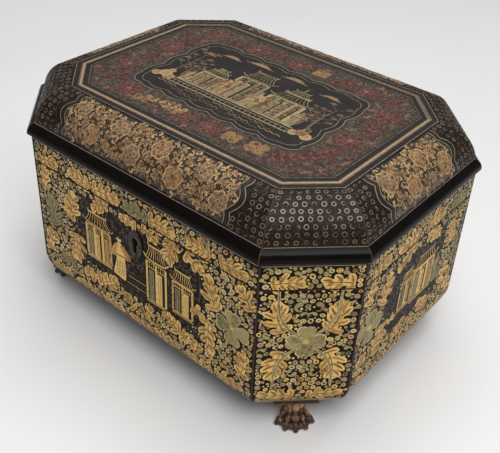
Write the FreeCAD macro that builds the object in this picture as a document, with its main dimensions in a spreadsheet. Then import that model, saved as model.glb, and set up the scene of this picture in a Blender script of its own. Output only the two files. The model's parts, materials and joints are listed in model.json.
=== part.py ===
import FreeCAD, Part
import math
import os

import Sketcher

# Lacquer box with canted corners, a hinged domed lid, a box lock and four paw feet.
# Millimetres. The origin is on the ground under the middle of the box, +Z is up,
# the keyhole side faces -Y and the lid hinges along the +Y side.

SIZES = {
    # carcass
    "box_width": 270.0,
    "box_depth": 204.0,
    "corner_leg": 40.5,
    "wall_height": 92.0,
    "wall_thickness": 10.0,
    "base_round_height": 17.0,
    "base_round_inset": 5.0,
    "board_thickness": 6.0,
    "board_rebate": 3.0,
    "board_clearance": 0.1,
    # lid
    "seam_gap": 0.3,
    "lid_wall_height": 16.8,
    "rim_height": 9.5,
    "rim_overhang": 2.5,
    "rim_cove_height": 2.6,
    "rim_lip_height": 1.0,
    "dome_inset": 2.0,
    "dome_run": 24.5,
    "dome_rise": 20.9,
    "panel_thickness": 7.5,
    "panel_ledge_width": 4.5,
    "panel_ledge_thickness": 4.0,
    # paw feet
    "foot_height": 22.0,
    "foot_setback": 12.0,
    "cap_width": 28.0,
    "cap_length": 18.0,
    "cap_thickness": 2.5,
    "leg_facets": 12.0,
    "heel_radius": 8.0,
    "ankle_radius": 6.2,
    "ankle_level": 12.5,
    "leg_top_radius": 7.2,
    "toe_count": 5.0,
    "toe_facets": 8.0,
    "toe_fan_angle": 31.0,
    "root_reach": 3.0,
    "root_level": 9.2,
    "root_radius": 2.3,
    "knuckle_reach": 7.2,
    "knuckle_level": 6.6,
    "knuckle_bulge": 3.0,
    "pad_reach": 10.7,
    "pad_level": 2.7,
    "pad_radius": 3.1,
    "claw_reach": 13.4,
    "claw_level": 1.2,
    "claw_radius": 1.4,
    "tenon_width": 6.0,
    "tenon_height": 4.5,
    "tenon_clearance": 0.1,
    # butt hinges
    "hinge_inset": 19.5,
    "hinge_length": 30.0,
    "hinge_axis_offset": 0.4,
    "leaf_width": 8.0,
    "leaf_thickness": 1.2,
    "leaf_clearance": 0.1,
    "knuckle_radius": 2.0,
    "knuckle_count": 3.0,
    "knuckle_gap": 0.2,
    "knuckle_clearance": 0.3,
    "pin_radius": 0.9,
    "pin_clearance": 0.05,
    "hinge_screw_pitch": 18.0,
    # wood screws, as plain shanks
    "screw_radius": 0.9,
    "screw_length": 6.0,
    "screw_clearance": 0.05,
    # box lock, let into the front wall from inside
    "lock_plate_margin": 4.0,
    "lock_plate_thickness": 1.2,
    "lock_plate_clearance": 0.1,
    "selvedge_depth": 7.7,
    "lock_cavity_margin": 1.0,
    "lock_cavity_depth": 5.4,
    "lock_screw_edge": 2.0,
    "lock_screw_drop": 17.0,
    # bolt, its guides and its spring
    "bolt_thickness": 1.6,
    "bolt_travel": 5.0,
    "bolt_bar_height": 4.5,
    "bolt_bar_clearance": 1.3,
    "bolt_post_width": 3.0,
    "bolt_prong_height": 2.6,
    "bolt_standoff": 0.8,
    "bolt_talon_width": 4.0,
    "bolt_talon_height": 0.9,
    "guide_offset": 7.0,
    "guide_spacing": 10.0,
    "guide_drop": 1.9,
    "guide_radius": 1.0,
    "guide_shoulder_width": 3.4,
    "guide_clearance": 0.1,
    "spring_radius": 2.4,
    "spring_thickness": 0.5,
    "spring_clearance": 0.1,
    "stud_radius": 0.9,
    # link plate in the lid, with two loops that the bolt locks
    "link_plate_thickness": 1.2,
    "link_screw_edge": 4.0,
    "loop_spacing": 20.0,
    "loop_thickness": 2.5,
    "loop_side": 1.0,
    "loop_play": 0.3,
    "loop_drop": 9.0,
    "loop_sill": 1.7,
    "loop_slot_clearance": 0.5,
    # keyhole and the plate round it
    "keyhole_drop": 17.0,
    "keyhole_radius": 2.5,
    "keyhole_slot_width": 2.8,
    "keyhole_slot_drop": 8.5,
    "escutcheon_drop": 19.0,
    "escutcheon_width": 12.0,
    "escutcheon_height": 20.0,
    "escutcheon_thickness": 0.9,
    "escutcheon_pin_edge": 1.7,
    "escutcheon_pin_radius": 0.7,
    "escutcheon_pin_length": 3.5,
    "escutcheon_pin_rise": 0.3,
    "escutcheon_pin_clearance": 0.05,
    # how far a cutting tool runs past what it cuts
    "cut_overrun": 2.0,
}

# Every corner of the plan turns by this angle, so each end is cut at half of it.
CORNER_ANGLE = 45
MITRE = f"tan({CORNER_ANGLE / 2} deg)"

doc = FreeCAD.newDocument("lacquer_box")
sheet = doc.addObject("Spreadsheet::Sheet", "sizes")
for row, (alias, value) in enumerate(SIZES.items(), start=1):
    sheet.set(f"A{row}", alias)
    sheet.set(f"B{row}", str(value))
    sheet.setAlias(f"B{row}", alias)
doc.recompute()

X_AXIS = FreeCAD.Vector(1, 0, 0)
Y_AXIS = FreeCAD.Vector(0, 1, 0)
Z_AXIS = FreeCAD.Vector(0, 0, 1)

# Turns that point a rod or screw, which is made along +Z, another way.
TURNS = {
    "up": FreeCAD.Rotation(),
    "down": FreeCAD.Rotation(X_AXIS, 180),
    "forward": FreeCAD.Rotation(X_AXIS, 90),
    "right": FreeCAD.Rotation(Y_AXIS, 90),
}

# Levels above the ground and the main half sizes, as expressions on the sheet.
HALF_WIDTH = "(sizes.box_width / 2)"
HALF_DEPTH = "(sizes.box_depth / 2)"
UNDERSIDE = "sizes.foot_height"
WALL_TOP = "(sizes.foot_height + sizes.wall_height)"
LID_BOTTOM = f"({WALL_TOP} + sizes.seam_gap)"
RIM_BOTTOM = f"({LID_BOTTOM} + sizes.lid_wall_height)"
DOME_BOTTOM = f"({RIM_BOTTOM} + sizes.rim_height)"
LID_TOP = f"({DOME_BOTTOM} + sizes.dome_rise)"
PANEL_EDGE = "(sizes.dome_inset + sizes.dome_run)"
PANEL_SEAT = f"({LID_TOP} - sizes.panel_thickness)"
LEDGE_EDGE = f"({PANEL_EDGE} + sizes.panel_ledge_width)"
REBATE_EDGE = "(sizes.wall_thickness - sizes.board_rebate)"

# Each side of the plan, one corner after the other: the middle of its outer face and its length.
# In a side's own frame X runs along it, Y points into the box and Z is up.
LONG_SIDE = "(sizes.box_width - 2 * sizes.corner_leg)"
SHORT_SIDE = "(sizes.box_depth - 2 * sizes.corner_leg)"
CANTED_SIDE = "(sizes.corner_leg * sqrt(2))"
CORNER_X = f"({HALF_WIDTH} - sizes.corner_leg / 2)"
CORNER_Y = f"({HALF_DEPTH} - sizes.corner_leg / 2)"
SIDES = {
    "front": ("0", f"-{HALF_DEPTH}", LONG_SIDE),
    "front_right": (CORNER_X, f"-{CORNER_Y}", CANTED_SIDE),
    "right": (HALF_WIDTH, "0", SHORT_SIDE),
    "back_right": (CORNER_X, CORNER_Y, CANTED_SIDE),
    "back": ("0", HALF_DEPTH, LONG_SIDE),
    "back_left": (f"-{CORNER_X}", CORNER_Y, CANTED_SIDE),
    "left": (f"-{HALF_WIDTH}", "0", SHORT_SIDE),
    "front_left": (f"-{CORNER_X}", f"-{CORNER_Y}", CANTED_SIDE),
}
CANTED_SIDES = [side for side in SIDES if "_" in side]

nodes = []


def number(expression):
    """The present value of an expression."""
    result = sheet.evalExpression(expression)
    return float(getattr(result, "Value", result))


def name_node(item, label):
    """Give a finished sub-part the name of its file."""
    item.Label = label
    nodes.append(item)


def bind(item, place=(), **sizes):
    """Tie an object's place and sizes to expressions."""
    for letter, text in zip("xyz", place):
        item.setExpression(f"Placement.Base.{letter}", text)
    for size, text in sizes.items():
        item.setExpression(size, text)
    return item


# Solids made of primitives

def block(name, low, high):
    """A box between its lowest and its highest corner."""
    extent = [f"{b} - ({a})" for a, b in zip(low, high)]
    box = doc.addObject("Part::Box", name)
    return bind(box, low, Length=extent[0], Width=extent[1], Height=extent[2])


def rod(name, place, way, radius, length):
    """A round rod from a place along one of the turns."""
    cylinder = doc.addObject("Part::Cylinder", name)
    cylinder.Placement.Rotation = TURNS[way]
    return bind(cylinder, place, Radius=radius, Height=length)


def join(name, solids):
    """Solids as one object; those that don't touch stay separate solids."""
    fusion = doc.addObject("Part::MultiFuse", name)
    fusion.Shapes = solids
    return fusion


def carve(name, base, tools):
    """A solid with the tools cut out of it."""
    cut = doc.addObject("Part::Cut", name)
    cut.Base = base
    cut.Tool = tools[0] if len(tools) == 1 else join(f"{name}_tools", tools)
    return cut


def screw_set(name, places, way):
    """Screws at places: the solids of the screws and the tools for their holes."""
    screws = []
    holes = []
    for i, place in enumerate(places):
        screws.append(rod(f"{name}_{i}", place, way, "sizes.screw_radius", "sizes.screw_length"))
        holes.append(rod(f"{name}_{i}_hole", place, way, "sizes.screw_radius + sizes.screw_clearance",
                         "sizes.screw_length + sizes.screw_clearance"))
    return screws, holes


# Sketched sections

def new_sketch(body, name, role):
    """A sketch on one of its own body's planes."""
    planes = {item.Role: item for item in body.Origin.OriginFeatures}
    sketch = body.newObject("Sketcher::SketchObject", name)
    sketch.AttachmentSupport = [(planes[role], "")]
    sketch.MapMode = "FlatFace"
    return sketch


def hold(sketch, kind, *where):
    """Add a dimension whose value, the last item, is an expression."""
    *points, text = where
    index = sketch.addConstraint(Sketcher.Constraint(kind, *points, number(text)))
    sketch.setExpression(f"Constraints[{index}]", text)


def arc_between(start, end, radius):
    """The arc of under half a circle that runs anticlockwise from start to end."""
    chord = end - start
    left = FreeCAD.Vector(-chord.y, chord.x, 0).normalize()
    centre = (start + end) / 2 + left * math.sqrt(radius ** 2 - (chord.Length / 2) ** 2)
    circle = Part.Circle(centre, Z_AXIS, radius)
    first = circle.parameter(start)
    last = circle.parameter(end)
    if last < first:
        last += 2 * math.pi
    return Part.ArcOfCircle(circle, first, last)


def draw_outline(sketch, points, arcs=None):
    """Draw a closed outline through points, each a pair of expressions.

    arcs gives, for the number of a stretch, its radius and which way it turns."""
    arcs = arcs or {}
    places = [FreeCAD.Vector(number(x), number(y), 0) for x, y in points]
    first = sketch.GeometryCount
    count = len(places)
    ends = []
    for i, start in enumerate(places):
        end = places[(i + 1) % count]
        radius, turn = arcs.get(i, (None, None))
        if turn == "left":
            sketch.addGeometry(arc_between(start, end, number(radius)))
        elif turn == "right":
            sketch.addGeometry(arc_between(end, start, number(radius)))
        else:
            sketch.addGeometry(Part.LineSegment(start, end))
        ends.append((2, 1) if turn == "right" else (1, 2))
    for i in range(count):
        after = (i + 1) % count
        meet = (first + i, ends[i][1], first + after, ends[after][0])
        sketch.addConstraint(Sketcher.Constraint("Coincident", *meet))
    for i, (x, y) in enumerate(points):
        hold(sketch, "DistanceX", -1, 1, first + i, ends[i][0], x)
        hold(sketch, "DistanceY", -1, 1, first + i, ends[i][0], y)
    for i, (radius, _) in arcs.items():
        hold(sketch, "Radius", first + i, radius)


def tangent_radius(along, across):
    """Radius of an arc that leaves a line smoothly, over a length along and across it."""
    return f"(({along}) ^ 2 + ({across}) ^ 2) / (2 * ({across}))"


def place_on_side(item, side):
    """Put an object made in a side's own frame on that side of the plan."""
    x, y, _ = SIDES[side]
    item.Placement.Rotation = FreeCAD.Rotation(Z_AXIS, CORNER_ANGLE * list(SIDES).index(side))
    bind(item, (x, y))


# Boards and mouldings: a section run along one side and mitred at both ends

def mitred_length(name, side, section, arcs, overhang, depth):
    """Run a section, as points of inset and level, along one side of the plan."""
    length = SIDES[side][2]
    body = doc.addObject("PartDesign::Body", name)
    profile = new_sketch(body, f"{name}_section", "YZ_Plane")
    draw_outline(profile, section, arcs)
    pad = body.newObject("PartDesign::Pad", f"{name}_pad")
    pad.Profile = profile
    pad.SideType = "Symmetric"
    bind(pad, Length=f"{length} + 2 * ({overhang}) * {MITRE}")

    mitre = new_sketch(body, f"{name}_mitre", "XY_Plane")
    outer = f"{overhang} + sizes.cut_overrun"
    inner = f"{depth} + sizes.cut_overrun"
    for sign in ("", "-"):
        waste = f"{sign}({length} / 2 + ({outer}) * {MITRE} + sizes.cut_overrun)"
        draw_outline(mitre, [
            (f"{sign}({length} / 2 + ({outer}) * {MITRE})", f"-({outer})"),
            (waste, f"-({outer})"),
            (waste, inner),
            (f"{sign}({length} / 2 - ({inner}) * {MITRE})", inner),
        ])
    pocket = body.newObject("PartDesign::Pocket", f"{name}_saw")
    pocket.Profile = mitre
    pocket.SideType = "Symmetric"
    pocket.Type = "ThroughAll"
    place_on_side(body, side)
    return body


def wall_board(side):
    """A board of the carcass: turned under at the base and rebated for the bottom."""
    round_top = f"({UNDERSIDE} + sizes.base_round_height)"
    board_top = f"({UNDERSIDE} + sizes.board_thickness)"
    section = [
        ("0", WALL_TOP),
        ("0", round_top),
        ("sizes.base_round_inset", UNDERSIDE),
        (REBATE_EDGE, UNDERSIDE),
        (REBATE_EDGE, board_top),
        ("sizes.wall_thickness", board_top),
        ("sizes.wall_thickness", WALL_TOP),
    ]
    radius = tangent_radius("sizes.base_round_height", "sizes.base_round_inset")
    return mitred_length(f"{side}_wall_board", side, section, {1: (radius, "left")}, "0",
                         "sizes.wall_thickness")


def lid_board(side):
    """A board of the shallow wall of the lid."""
    section = [
        ("0", LID_BOTTOM),
        ("sizes.wall_thickness", LID_BOTTOM),
        ("sizes.wall_thickness", RIM_BOTTOM),
        ("0", RIM_BOTTOM),
    ]
    return mitred_length(f"{side}_lid_board", side, section, {}, "0", "sizes.wall_thickness")


def rim_moulding(side):
    """The lid's rim: a rounded face, a lip and a cove back to the wall."""
    lip_bottom = f"({RIM_BOTTOM} + sizes.rim_cove_height)"
    lip_top = f"({lip_bottom} + sizes.rim_lip_height)"
    section = [
        ("0", RIM_BOTTOM),
        ("sizes.wall_thickness", RIM_BOTTOM),
        ("sizes.wall_thickness", DOME_BOTTOM),
        ("sizes.dome_inset", DOME_BOTTOM),
        ("-sizes.rim_overhang", lip_top),
        ("-sizes.rim_overhang", lip_bottom),
    ]
    face = tangent_radius(f"{DOME_BOTTOM} - {lip_top}", "sizes.rim_overhang + sizes.dome_inset")
    cove = tangent_radius("sizes.rim_cove_height", "sizes.rim_overhang")
    arcs = {3: (face, "left"), 5: (cove, "right")}
    return mitred_length(f"{side}_rim_moulding", side, section, arcs, "sizes.rim_overhang",
                         "sizes.wall_thickness")


def dome_slope(side):
    """A rounded slope of the lid, solid wood with a ledge for the top panel."""
    section = [
        ("sizes.dome_inset", DOME_BOTTOM),
        ("sizes.wall_thickness", DOME_BOTTOM),
        (LEDGE_EDGE, f"{PANEL_SEAT} - sizes.panel_ledge_thickness"),
        (LEDGE_EDGE, PANEL_SEAT),
        (PANEL_EDGE, PANEL_SEAT),
        (PANEL_EDGE, LID_TOP),
    ]
    radius = tangent_radius("sizes.dome_run", "sizes.dome_rise")
    return mitred_length(f"{side}_dome_slope", side, section, {5: (radius, "left")}, "0", LEDGE_EDGE)


def octagon_board(name, inset, bottom, thickness):
    """A flat board with the box's plan, drawn in by an inset."""
    half_x = f"({HALF_WIDTH} - {inset})"
    half_y = f"({HALF_DEPTH} - {inset})"
    run_x = f"({LONG_SIDE} / 2 - {inset} * {MITRE})"
    run_y = f"({SHORT_SIDE} / 2 - {inset} * {MITRE})"
    corners = []
    for sx, sy in (("", "-"), ("", ""), ("-", ""), ("-", "-")):
        pair = [(f"{sx}{run_x}", f"{sy}{half_y}"), (f"{sx}{half_x}", f"{sy}{run_y}")]
        corners += pair if sx != sy else pair[::-1]
    body = doc.addObject("PartDesign::Body", name)
    outline = new_sketch(body, f"{name}_outline", "XY_Plane")
    outline.setExpression("AttachmentOffset.Base.z", bottom)
    draw_outline(outline, corners)
    pad = body.newObject("PartDesign::Pad", f"{name}_pad")
    pad.Profile = outline
    bind(pad, Length=thickness)
    return body


# Feet

def facet_loft(name, stations, turn, sides):
    """A solid with flat facets through polygons, each a place and a radius, turned alike."""
    sections = []
    for i, (place, radius) in enumerate(stations):
        polygon = doc.addObject("Part::RegularPolygon", f"{name}_section_{i}")
        polygon.Placement.Rotation = turn
        sections.append(bind(polygon, place, Circumradius=radius, Polygon=sides))
    loft = doc.addObject("Part::Loft", name)
    loft.Sections = sections
    loft.Solid = True
    loft.Ruled = True
    loft.Linearize = True
    return loft


def paw_toe(name, place):
    """A toe that swells at its knuckle and its pad; place counts from the middle toe."""
    swing = f"({place} * sizes.toe_fan_angle * 1 deg)"
    stations = []
    for part, radius in (("root", "root_radius"), ("knuckle", "knuckle_bulge"),
                         ("pad", "pad_radius"), ("claw", "claw_radius")):
        reach = f"sizes.{part}_reach"
        middle = (f"{reach} * sin({swing})", f"sizes.foot_setback - {reach} * cos({swing})",
                  f"sizes.{part}_level")
        stations.append((middle, f"sizes.{radius}"))
    turn = FreeCAD.Rotation(Z_AXIS, place * number("sizes.toe_fan_angle"))
    return facet_loft(name, stations, turn.multiply(TURNS["forward"]), "sizes.toe_facets")


def paw_foot(side):
    """A carved paw with fanned toes, a cap and a tenon, made in its side's own frame."""
    name = f"{side}_paw"
    cap_bottom = f"({UNDERSIDE} - sizes.cap_thickness)"
    middle = ("0", "sizes.foot_setback")
    leg = facet_loft(f"{name}_leg", [
        ((*middle, "0"), "sizes.heel_radius"),
        ((*middle, "sizes.ankle_level"), "sizes.ankle_radius"),
        ((*middle, cap_bottom), "sizes.leg_top_radius"),
    ], TURNS["up"], "sizes.leg_facets")
    count = int(number("sizes.toe_count"))
    toes = [paw_toe(f"{name}_toe_{i}", i - (count - 1) / 2) for i in range(count)]
    half_cap = "sizes.cap_width / 2"
    cap = block(f"{name}_cap", (f"-{half_cap}", "sizes.base_round_inset", cap_bottom),
                (half_cap, "sizes.base_round_inset + sizes.cap_length", UNDERSIDE))
    half_tenon = "sizes.tenon_width / 2"
    tenon_top = f"{UNDERSIDE} + sizes.tenon_height"
    tenon = block(f"{name}_tenon", (f"-{half_tenon}", f"sizes.foot_setback - {half_tenon}", UNDERSIDE),
                  (half_tenon, f"sizes.foot_setback + {half_tenon}", tenon_top))
    spread = "(sizes.claw_reach + sizes.pad_radius)"
    ground = block(f"{name}_ground", (f"-{spread}", f"sizes.foot_setback - {spread}", f"-{spread}"),
                   (spread, f"sizes.foot_setback + {spread}", "0"))
    foot = carve(f"{name}_cut", join(f"{name}_blank", [leg, *toes, cap, tenon]), [ground])
    place_on_side(foot, side)
    return foot


def tenon_mortises():
    """The tools for the square mortises in the bottom board, turned with the corners."""
    width = "(sizes.tenon_width + 2 * sizes.tenon_clearance)"
    step_in = "sizes.foot_setback / sqrt(2)"
    tools = []
    for i, (sx, sy) in enumerate((("-", "-"), ("", "-"), ("", ""), ("-", ""))):
        tool = doc.addObject("Part::Box", f"tenon_mortise_{i}")
        tool.Placement.Rotation = FreeCAD.Rotation(Z_AXIS, CORNER_ANGLE)
        place = (
            f"{sx}({CORNER_X} - {step_in})",
            f"{sy}({CORNER_Y} - {step_in}) - {width} / sqrt(2)",
            f"{UNDERSIDE} - sizes.cut_overrun",
        )
        height = "sizes.cut_overrun + sizes.tenon_height + sizes.tenon_clearance"
        tools.append(bind(tool, place, Length=width, Width=width, Height=height))
    return tools


# Hinges

HINGE_OFFSET = f"({LONG_SIDE} / 2 - sizes.hinge_inset - sizes.hinge_length / 2)"
HINGE_MIDDLES = (("left", f"-{HINGE_OFFSET}"), ("right", HINGE_OFFSET))
AXIS_Y = f"({HALF_DEPTH} + sizes.hinge_axis_offset)"
AXIS_Z = f"({WALL_TOP} + sizes.seam_gap / 2)"
KNUCKLE_EDGE = f"({AXIS_Y} - sizes.knuckle_radius - sizes.knuckle_clearance)"
LEAF_EDGE = f"({HALF_DEPTH} - sizes.leaf_width)"
LEAF_LEVELS = {
    "lower": (f"{WALL_TOP} - sizes.leaf_thickness", WALL_TOP),
    "upper": (LID_BOTTOM, f"{LID_BOTTOM} + sizes.leaf_thickness"),
}


def hinge_leaf(name, middle, half, screw_holes):
    """One leaf with every second knuckle: the lower leaf has the first and the last."""
    bottom, top = LEAF_LEVELS[half]
    start = f"({middle} - sizes.hinge_length / 2)"
    end = f"({middle} + sizes.hinge_length / 2)"
    pieces = [block(f"{name}_plate", (start, LEAF_EDGE, bottom), (end, KNUCKLE_EDGE, top))]
    step = "(sizes.hinge_length / sizes.knuckle_count)"
    length = f"({step} - sizes.knuckle_gap)"
    for i in range(0 if half == "lower" else 1, int(number("sizes.knuckle_count")), 2):
        left = f"({start} + {i} * {step} + sizes.knuckle_gap / 2)"
        pieces.append(rod(f"{name}_knuckle_{i}", (left, AXIS_Y, AXIS_Z), "right",
                          "sizes.knuckle_radius", length))
        pieces.append(block(f"{name}_neck_{i}", (left, KNUCKLE_EDGE, bottom),
                            (f"{left} + {length}", AXIS_Y, top)))
    bore = rod(f"{name}_bore", (start, AXIS_Y, AXIS_Z), "right",
               "sizes.pin_radius + sizes.pin_clearance", "sizes.hinge_length")
    return carve(f"{name}_cut", join(f"{name}_blank", pieces), [bore] + screw_holes)


def hinge_mortise(name, middle, half):
    """The tools that let a leaf and the knuckles into a board."""
    bottom, top = LEAF_LEVELS[half]
    low = bottom if half == "lower" else f"{LID_BOTTOM} - sizes.cut_overrun"
    high = f"{WALL_TOP} + sizes.cut_overrun" if half == "lower" else top
    start = f"({middle} - sizes.hinge_length / 2 - sizes.leaf_clearance)"
    end = f"({middle} + sizes.hinge_length / 2 + sizes.leaf_clearance)"
    return [
        block(f"{name}_bed", (start, f"{LEAF_EDGE} - sizes.leaf_clearance", low),
              (end, f"{HALF_DEPTH} + sizes.cut_overrun", high)),
        rod(f"{name}_groove", (start, AXIS_Y, AXIS_Z), "right",
            "sizes.knuckle_radius + sizes.knuckle_clearance", f"{end} - {start}"),
    ]


def hinge_half(half, way):
    """Both leaves on one of the two boards: makes their nodes and returns the board's cuts."""
    screws = []
    cuts = []
    level = WALL_TOP if half == "lower" else LID_BOTTOM
    row_y = f"({LEAF_EDGE} + {KNUCKLE_EDGE}) / 2"
    for hand, middle in HINGE_MIDDLES:
        name = f"{hand}_{half}"
        places = [(f"{middle} + {i} * sizes.hinge_screw_pitch", row_y, level) for i in (-0.5, 0.5)]
        solids, holes = screw_set(f"{name}_hinge_screw", places, way)
        leaf = hinge_leaf(f"{name}_leaf", middle, half, holes)
        name_node(leaf, f"{hand}_hinge_{half}_leaf")
        screws += solids
        cuts += holes + hinge_mortise(f"{name}_mortise", middle, half)
    name_node(join(f"{half}_screws", screws), f"hinge_{half}_screws")
    return cuts


def hinge_pins():
    """The pins, as long as the knuckles."""
    for hand, middle in HINGE_MIDDLES:
        start = (f"{middle} - sizes.hinge_length / 2", AXIS_Y, AXIS_Z)
        pin = rod(f"{hand}_pin", start, "right", "sizes.pin_radius", "sizes.hinge_length")
        name_node(pin, f"{hand}_hinge_pin")


# Lock

INNER_Y = f"(sizes.wall_thickness - {HALF_DEPTH})"
PLATE_FACE = f"({INNER_Y} - sizes.lock_plate_thickness)"
CAVITY_FACE = f"({PLATE_FACE} - sizes.lock_cavity_depth)"
BOLT_Y = f"(({PLATE_FACE} + {CAVITY_FACE}) / 2)"
BOLT_BACK = f"({BOLT_Y} + sizes.bolt_thickness / 2)"
BOLT_FRONT = f"({BOLT_Y} - sizes.bolt_thickness / 2)"
SELVEDGE_FRONT = f"({INNER_Y} - sizes.selvedge_depth)"
LOOP_BOTTOM = f"({LID_BOTTOM} - sizes.loop_drop)"
LOOP_HALF_WIDTH = "(sizes.bolt_thickness / 2 + sizes.loop_play + sizes.loop_side)"
BAR_TOP = f"({LOOP_BOTTOM} - sizes.bolt_bar_clearance)"
BAR_BOTTOM = f"({BAR_TOP} - sizes.bolt_bar_height)"
PRONG_BOTTOM = f"({LOOP_BOTTOM} + sizes.loop_sill + sizes.loop_play)"
PRONG_TOP = f"({PRONG_BOTTOM} + sizes.bolt_prong_height)"
LOOP_MIDDLES = ("-sizes.loop_spacing / 2", "sizes.loop_spacing / 2")
PRONG_TIPS = [f"({x} - sizes.loop_thickness / 2 - sizes.bolt_standoff)" for x in LOOP_MIDDLES]
POST_RIGHTS = [f"({tip} - sizes.bolt_travel)" for tip in PRONG_TIPS]
POST_LEFTS = [f"({right} - sizes.bolt_post_width)" for right in POST_RIGHTS]
CAVITY_HALF = f"(sizes.lock_cavity_margin - {POST_LEFTS[0]})"
CAVITY_DROP = "(sizes.keyhole_drop + sizes.keyhole_slot_drop + sizes.lock_cavity_margin)"
PLATE_HALF = f"({CAVITY_HALF} + sizes.lock_plate_margin)"
PLATE_BOTTOM = f"({WALL_TOP} - {CAVITY_DROP} - sizes.lock_plate_margin)"
GUIDE_PLACES = [f"(-sizes.guide_offset + {sign} * sizes.guide_spacing / 2)" for sign in (-1, 1)]
GUIDE_Z = f"({BAR_TOP} - sizes.guide_drop)"


def centred_block(name, middle, half_width, y, z):
    """A box centred on x, between pairs of y and z."""
    low = (f"{middle} - ({half_width})", y[0], z[0])
    high = (f"{middle} + ({half_width})", y[1], z[1])
    return block(name, low, high)


def lock_plate(screw_holes):
    """The plate inside the wall with the selvedge on its top edge, slotted for the loops."""
    plate = centred_block("lock_back", "0", PLATE_HALF, (PLATE_FACE, INNER_Y), (PLATE_BOTTOM, WALL_TOP))
    selvedge = centred_block("lock_selvedge", "0", PLATE_HALF, (SELVEDGE_FRONT, INNER_Y),
                             (f"{WALL_TOP} - sizes.lock_plate_thickness", WALL_TOP))
    slots = []
    for i, middle in enumerate(LOOP_MIDDLES):
        reach = f"({LOOP_HALF_WIDTH} + sizes.loop_slot_clearance)"
        slots.append(centred_block(
            f"lock_slot_{i}", middle, "sizes.loop_thickness / 2 + sizes.loop_slot_clearance",
            (f"{BOLT_Y} - {reach}", f"{BOLT_Y} + {reach}"),
            (f"{WALL_TOP} - sizes.lock_plate_thickness - sizes.cut_overrun",
             f"{WALL_TOP} + sizes.cut_overrun")))
    return carve("lock_plate_cut", join("lock_plate_blank", [plate, selvedge]), slots + screw_holes)


def lock_mortise():
    """The tools that let the lock into the front wall."""
    half = f"{PLATE_HALF} + sizes.lock_plate_clearance"
    above = f"{WALL_TOP} + sizes.cut_overrun"
    inside = f"{INNER_Y} + sizes.cut_overrun"
    bottom = f"{PLATE_BOTTOM} - sizes.lock_plate_clearance"
    shelf = f"{WALL_TOP} - sizes.lock_plate_thickness"
    return [
        centred_block("plate_bed", "0", half, (PLATE_FACE, inside), (bottom, above)),
        centred_block("selvedge_bed", "0", half,
                      (f"{SELVEDGE_FRONT} - sizes.lock_plate_clearance", inside), (shelf, above)),
        centred_block("lock_cavity", "0", CAVITY_HALF, (CAVITY_FACE, inside),
                      (f"{WALL_TOP} - {CAVITY_DROP}", above)),
    ]


def lock_bolt():
    """A sliding bar with two prongs; the key works in the talon at its lower edge."""
    span = (BOLT_FRONT, BOLT_BACK)
    pieces = [block("bolt_bar", (POST_LEFTS[0], BOLT_FRONT, BAR_BOTTOM),
                    (POST_RIGHTS[1], BOLT_BACK, BAR_TOP))]
    for i, (left, right, tip) in enumerate(zip(POST_LEFTS, POST_RIGHTS, PRONG_TIPS)):
        pieces.append(block(f"bolt_post_{i}", (left, BOLT_FRONT, BAR_TOP),
                            (right, BOLT_BACK, PRONG_TOP)))
        pieces.append(block(f"bolt_prong_{i}", (right, BOLT_FRONT, PRONG_BOTTOM),
                            (tip, BOLT_BACK, PRONG_TOP)))
    wide = [f"{y} {sign} sizes.cut_overrun" for y, sign in zip(span, "-+")]
    talon = (f"{BAR_BOTTOM} - sizes.cut_overrun", f"{BAR_BOTTOM} + sizes.bolt_talon_height")
    tools = [centred_block("bolt_talon", "-sizes.bolt_travel / 2", "sizes.bolt_talon_width / 2",
                           wide, talon)]
    play = "(sizes.guide_radius + sizes.guide_clearance)"
    for i, x in enumerate(GUIDE_PLACES):
        low = (f"{x} - sizes.bolt_travel - {play}", wide[0], f"{GUIDE_Z} - {play}")
        tools.append(block(f"bolt_slot_{i}", low, (f"{x} + {play}", wide[1], f"{GUIDE_Z} + {play}")))
    return carve("lock_bolt_cut", join("lock_bolt_blank", pieces), tools)


SPRING_X = f"(({PRONG_TIPS[0]} + sizes.bolt_travel + {POST_LEFTS[1]}) / 2)"
SPRING_Z = f"({BAR_TOP} + sizes.spring_clearance)"


def bolt_guides():
    """Two pins with square shoulders that carry the bolt and a stud that holds its spring."""
    solids = []
    half = "sizes.guide_shoulder_width / 2"
    for i, x in enumerate(GUIDE_PLACES):
        solids += [
            centred_block(f"guide_shoulder_{i}", x, half,
                          (f"{BOLT_BACK} + sizes.guide_clearance", PLATE_FACE),
                          (f"{GUIDE_Z} - {half}", f"{GUIDE_Z} + {half}")),
            rod(f"guide_pin_{i}", (x, PLATE_FACE, GUIDE_Z), "forward", "sizes.guide_radius",
                "sizes.lock_cavity_depth - sizes.guide_clearance"),
        ]
    stud_z = f"{SPRING_Z} + sizes.spring_radius - sizes.spring_clearance - sizes.stud_radius"
    solids.append(rod("spring_stud", (SPRING_X, PLATE_FACE, stud_z), "forward", "sizes.stud_radius",
                      f"{PLATE_FACE} - {BOLT_FRONT}"))
    return join("bolt_guide_set", solids)


def bolt_spring():
    """A strip bent over its stud, with both ends on the bolt."""
    place = (SPRING_X, BOLT_BACK, SPRING_Z)
    outer = rod("spring_outer", place, "forward", "sizes.spring_radius + sizes.spring_thickness",
                "sizes.bolt_thickness")
    inner = rod("spring_inner", place, "forward", "sizes.spring_radius", "sizes.bolt_thickness")
    reach = "sizes.spring_radius + sizes.spring_thickness + sizes.cut_overrun"
    below = centred_block("spring_below", SPRING_X, reach, (BOLT_FRONT, BOLT_BACK),
                          (f"{SPRING_Z} - ({reach})", SPRING_Z))
    return carve("bolt_spring_cut", outer, [inner, below])


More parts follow.
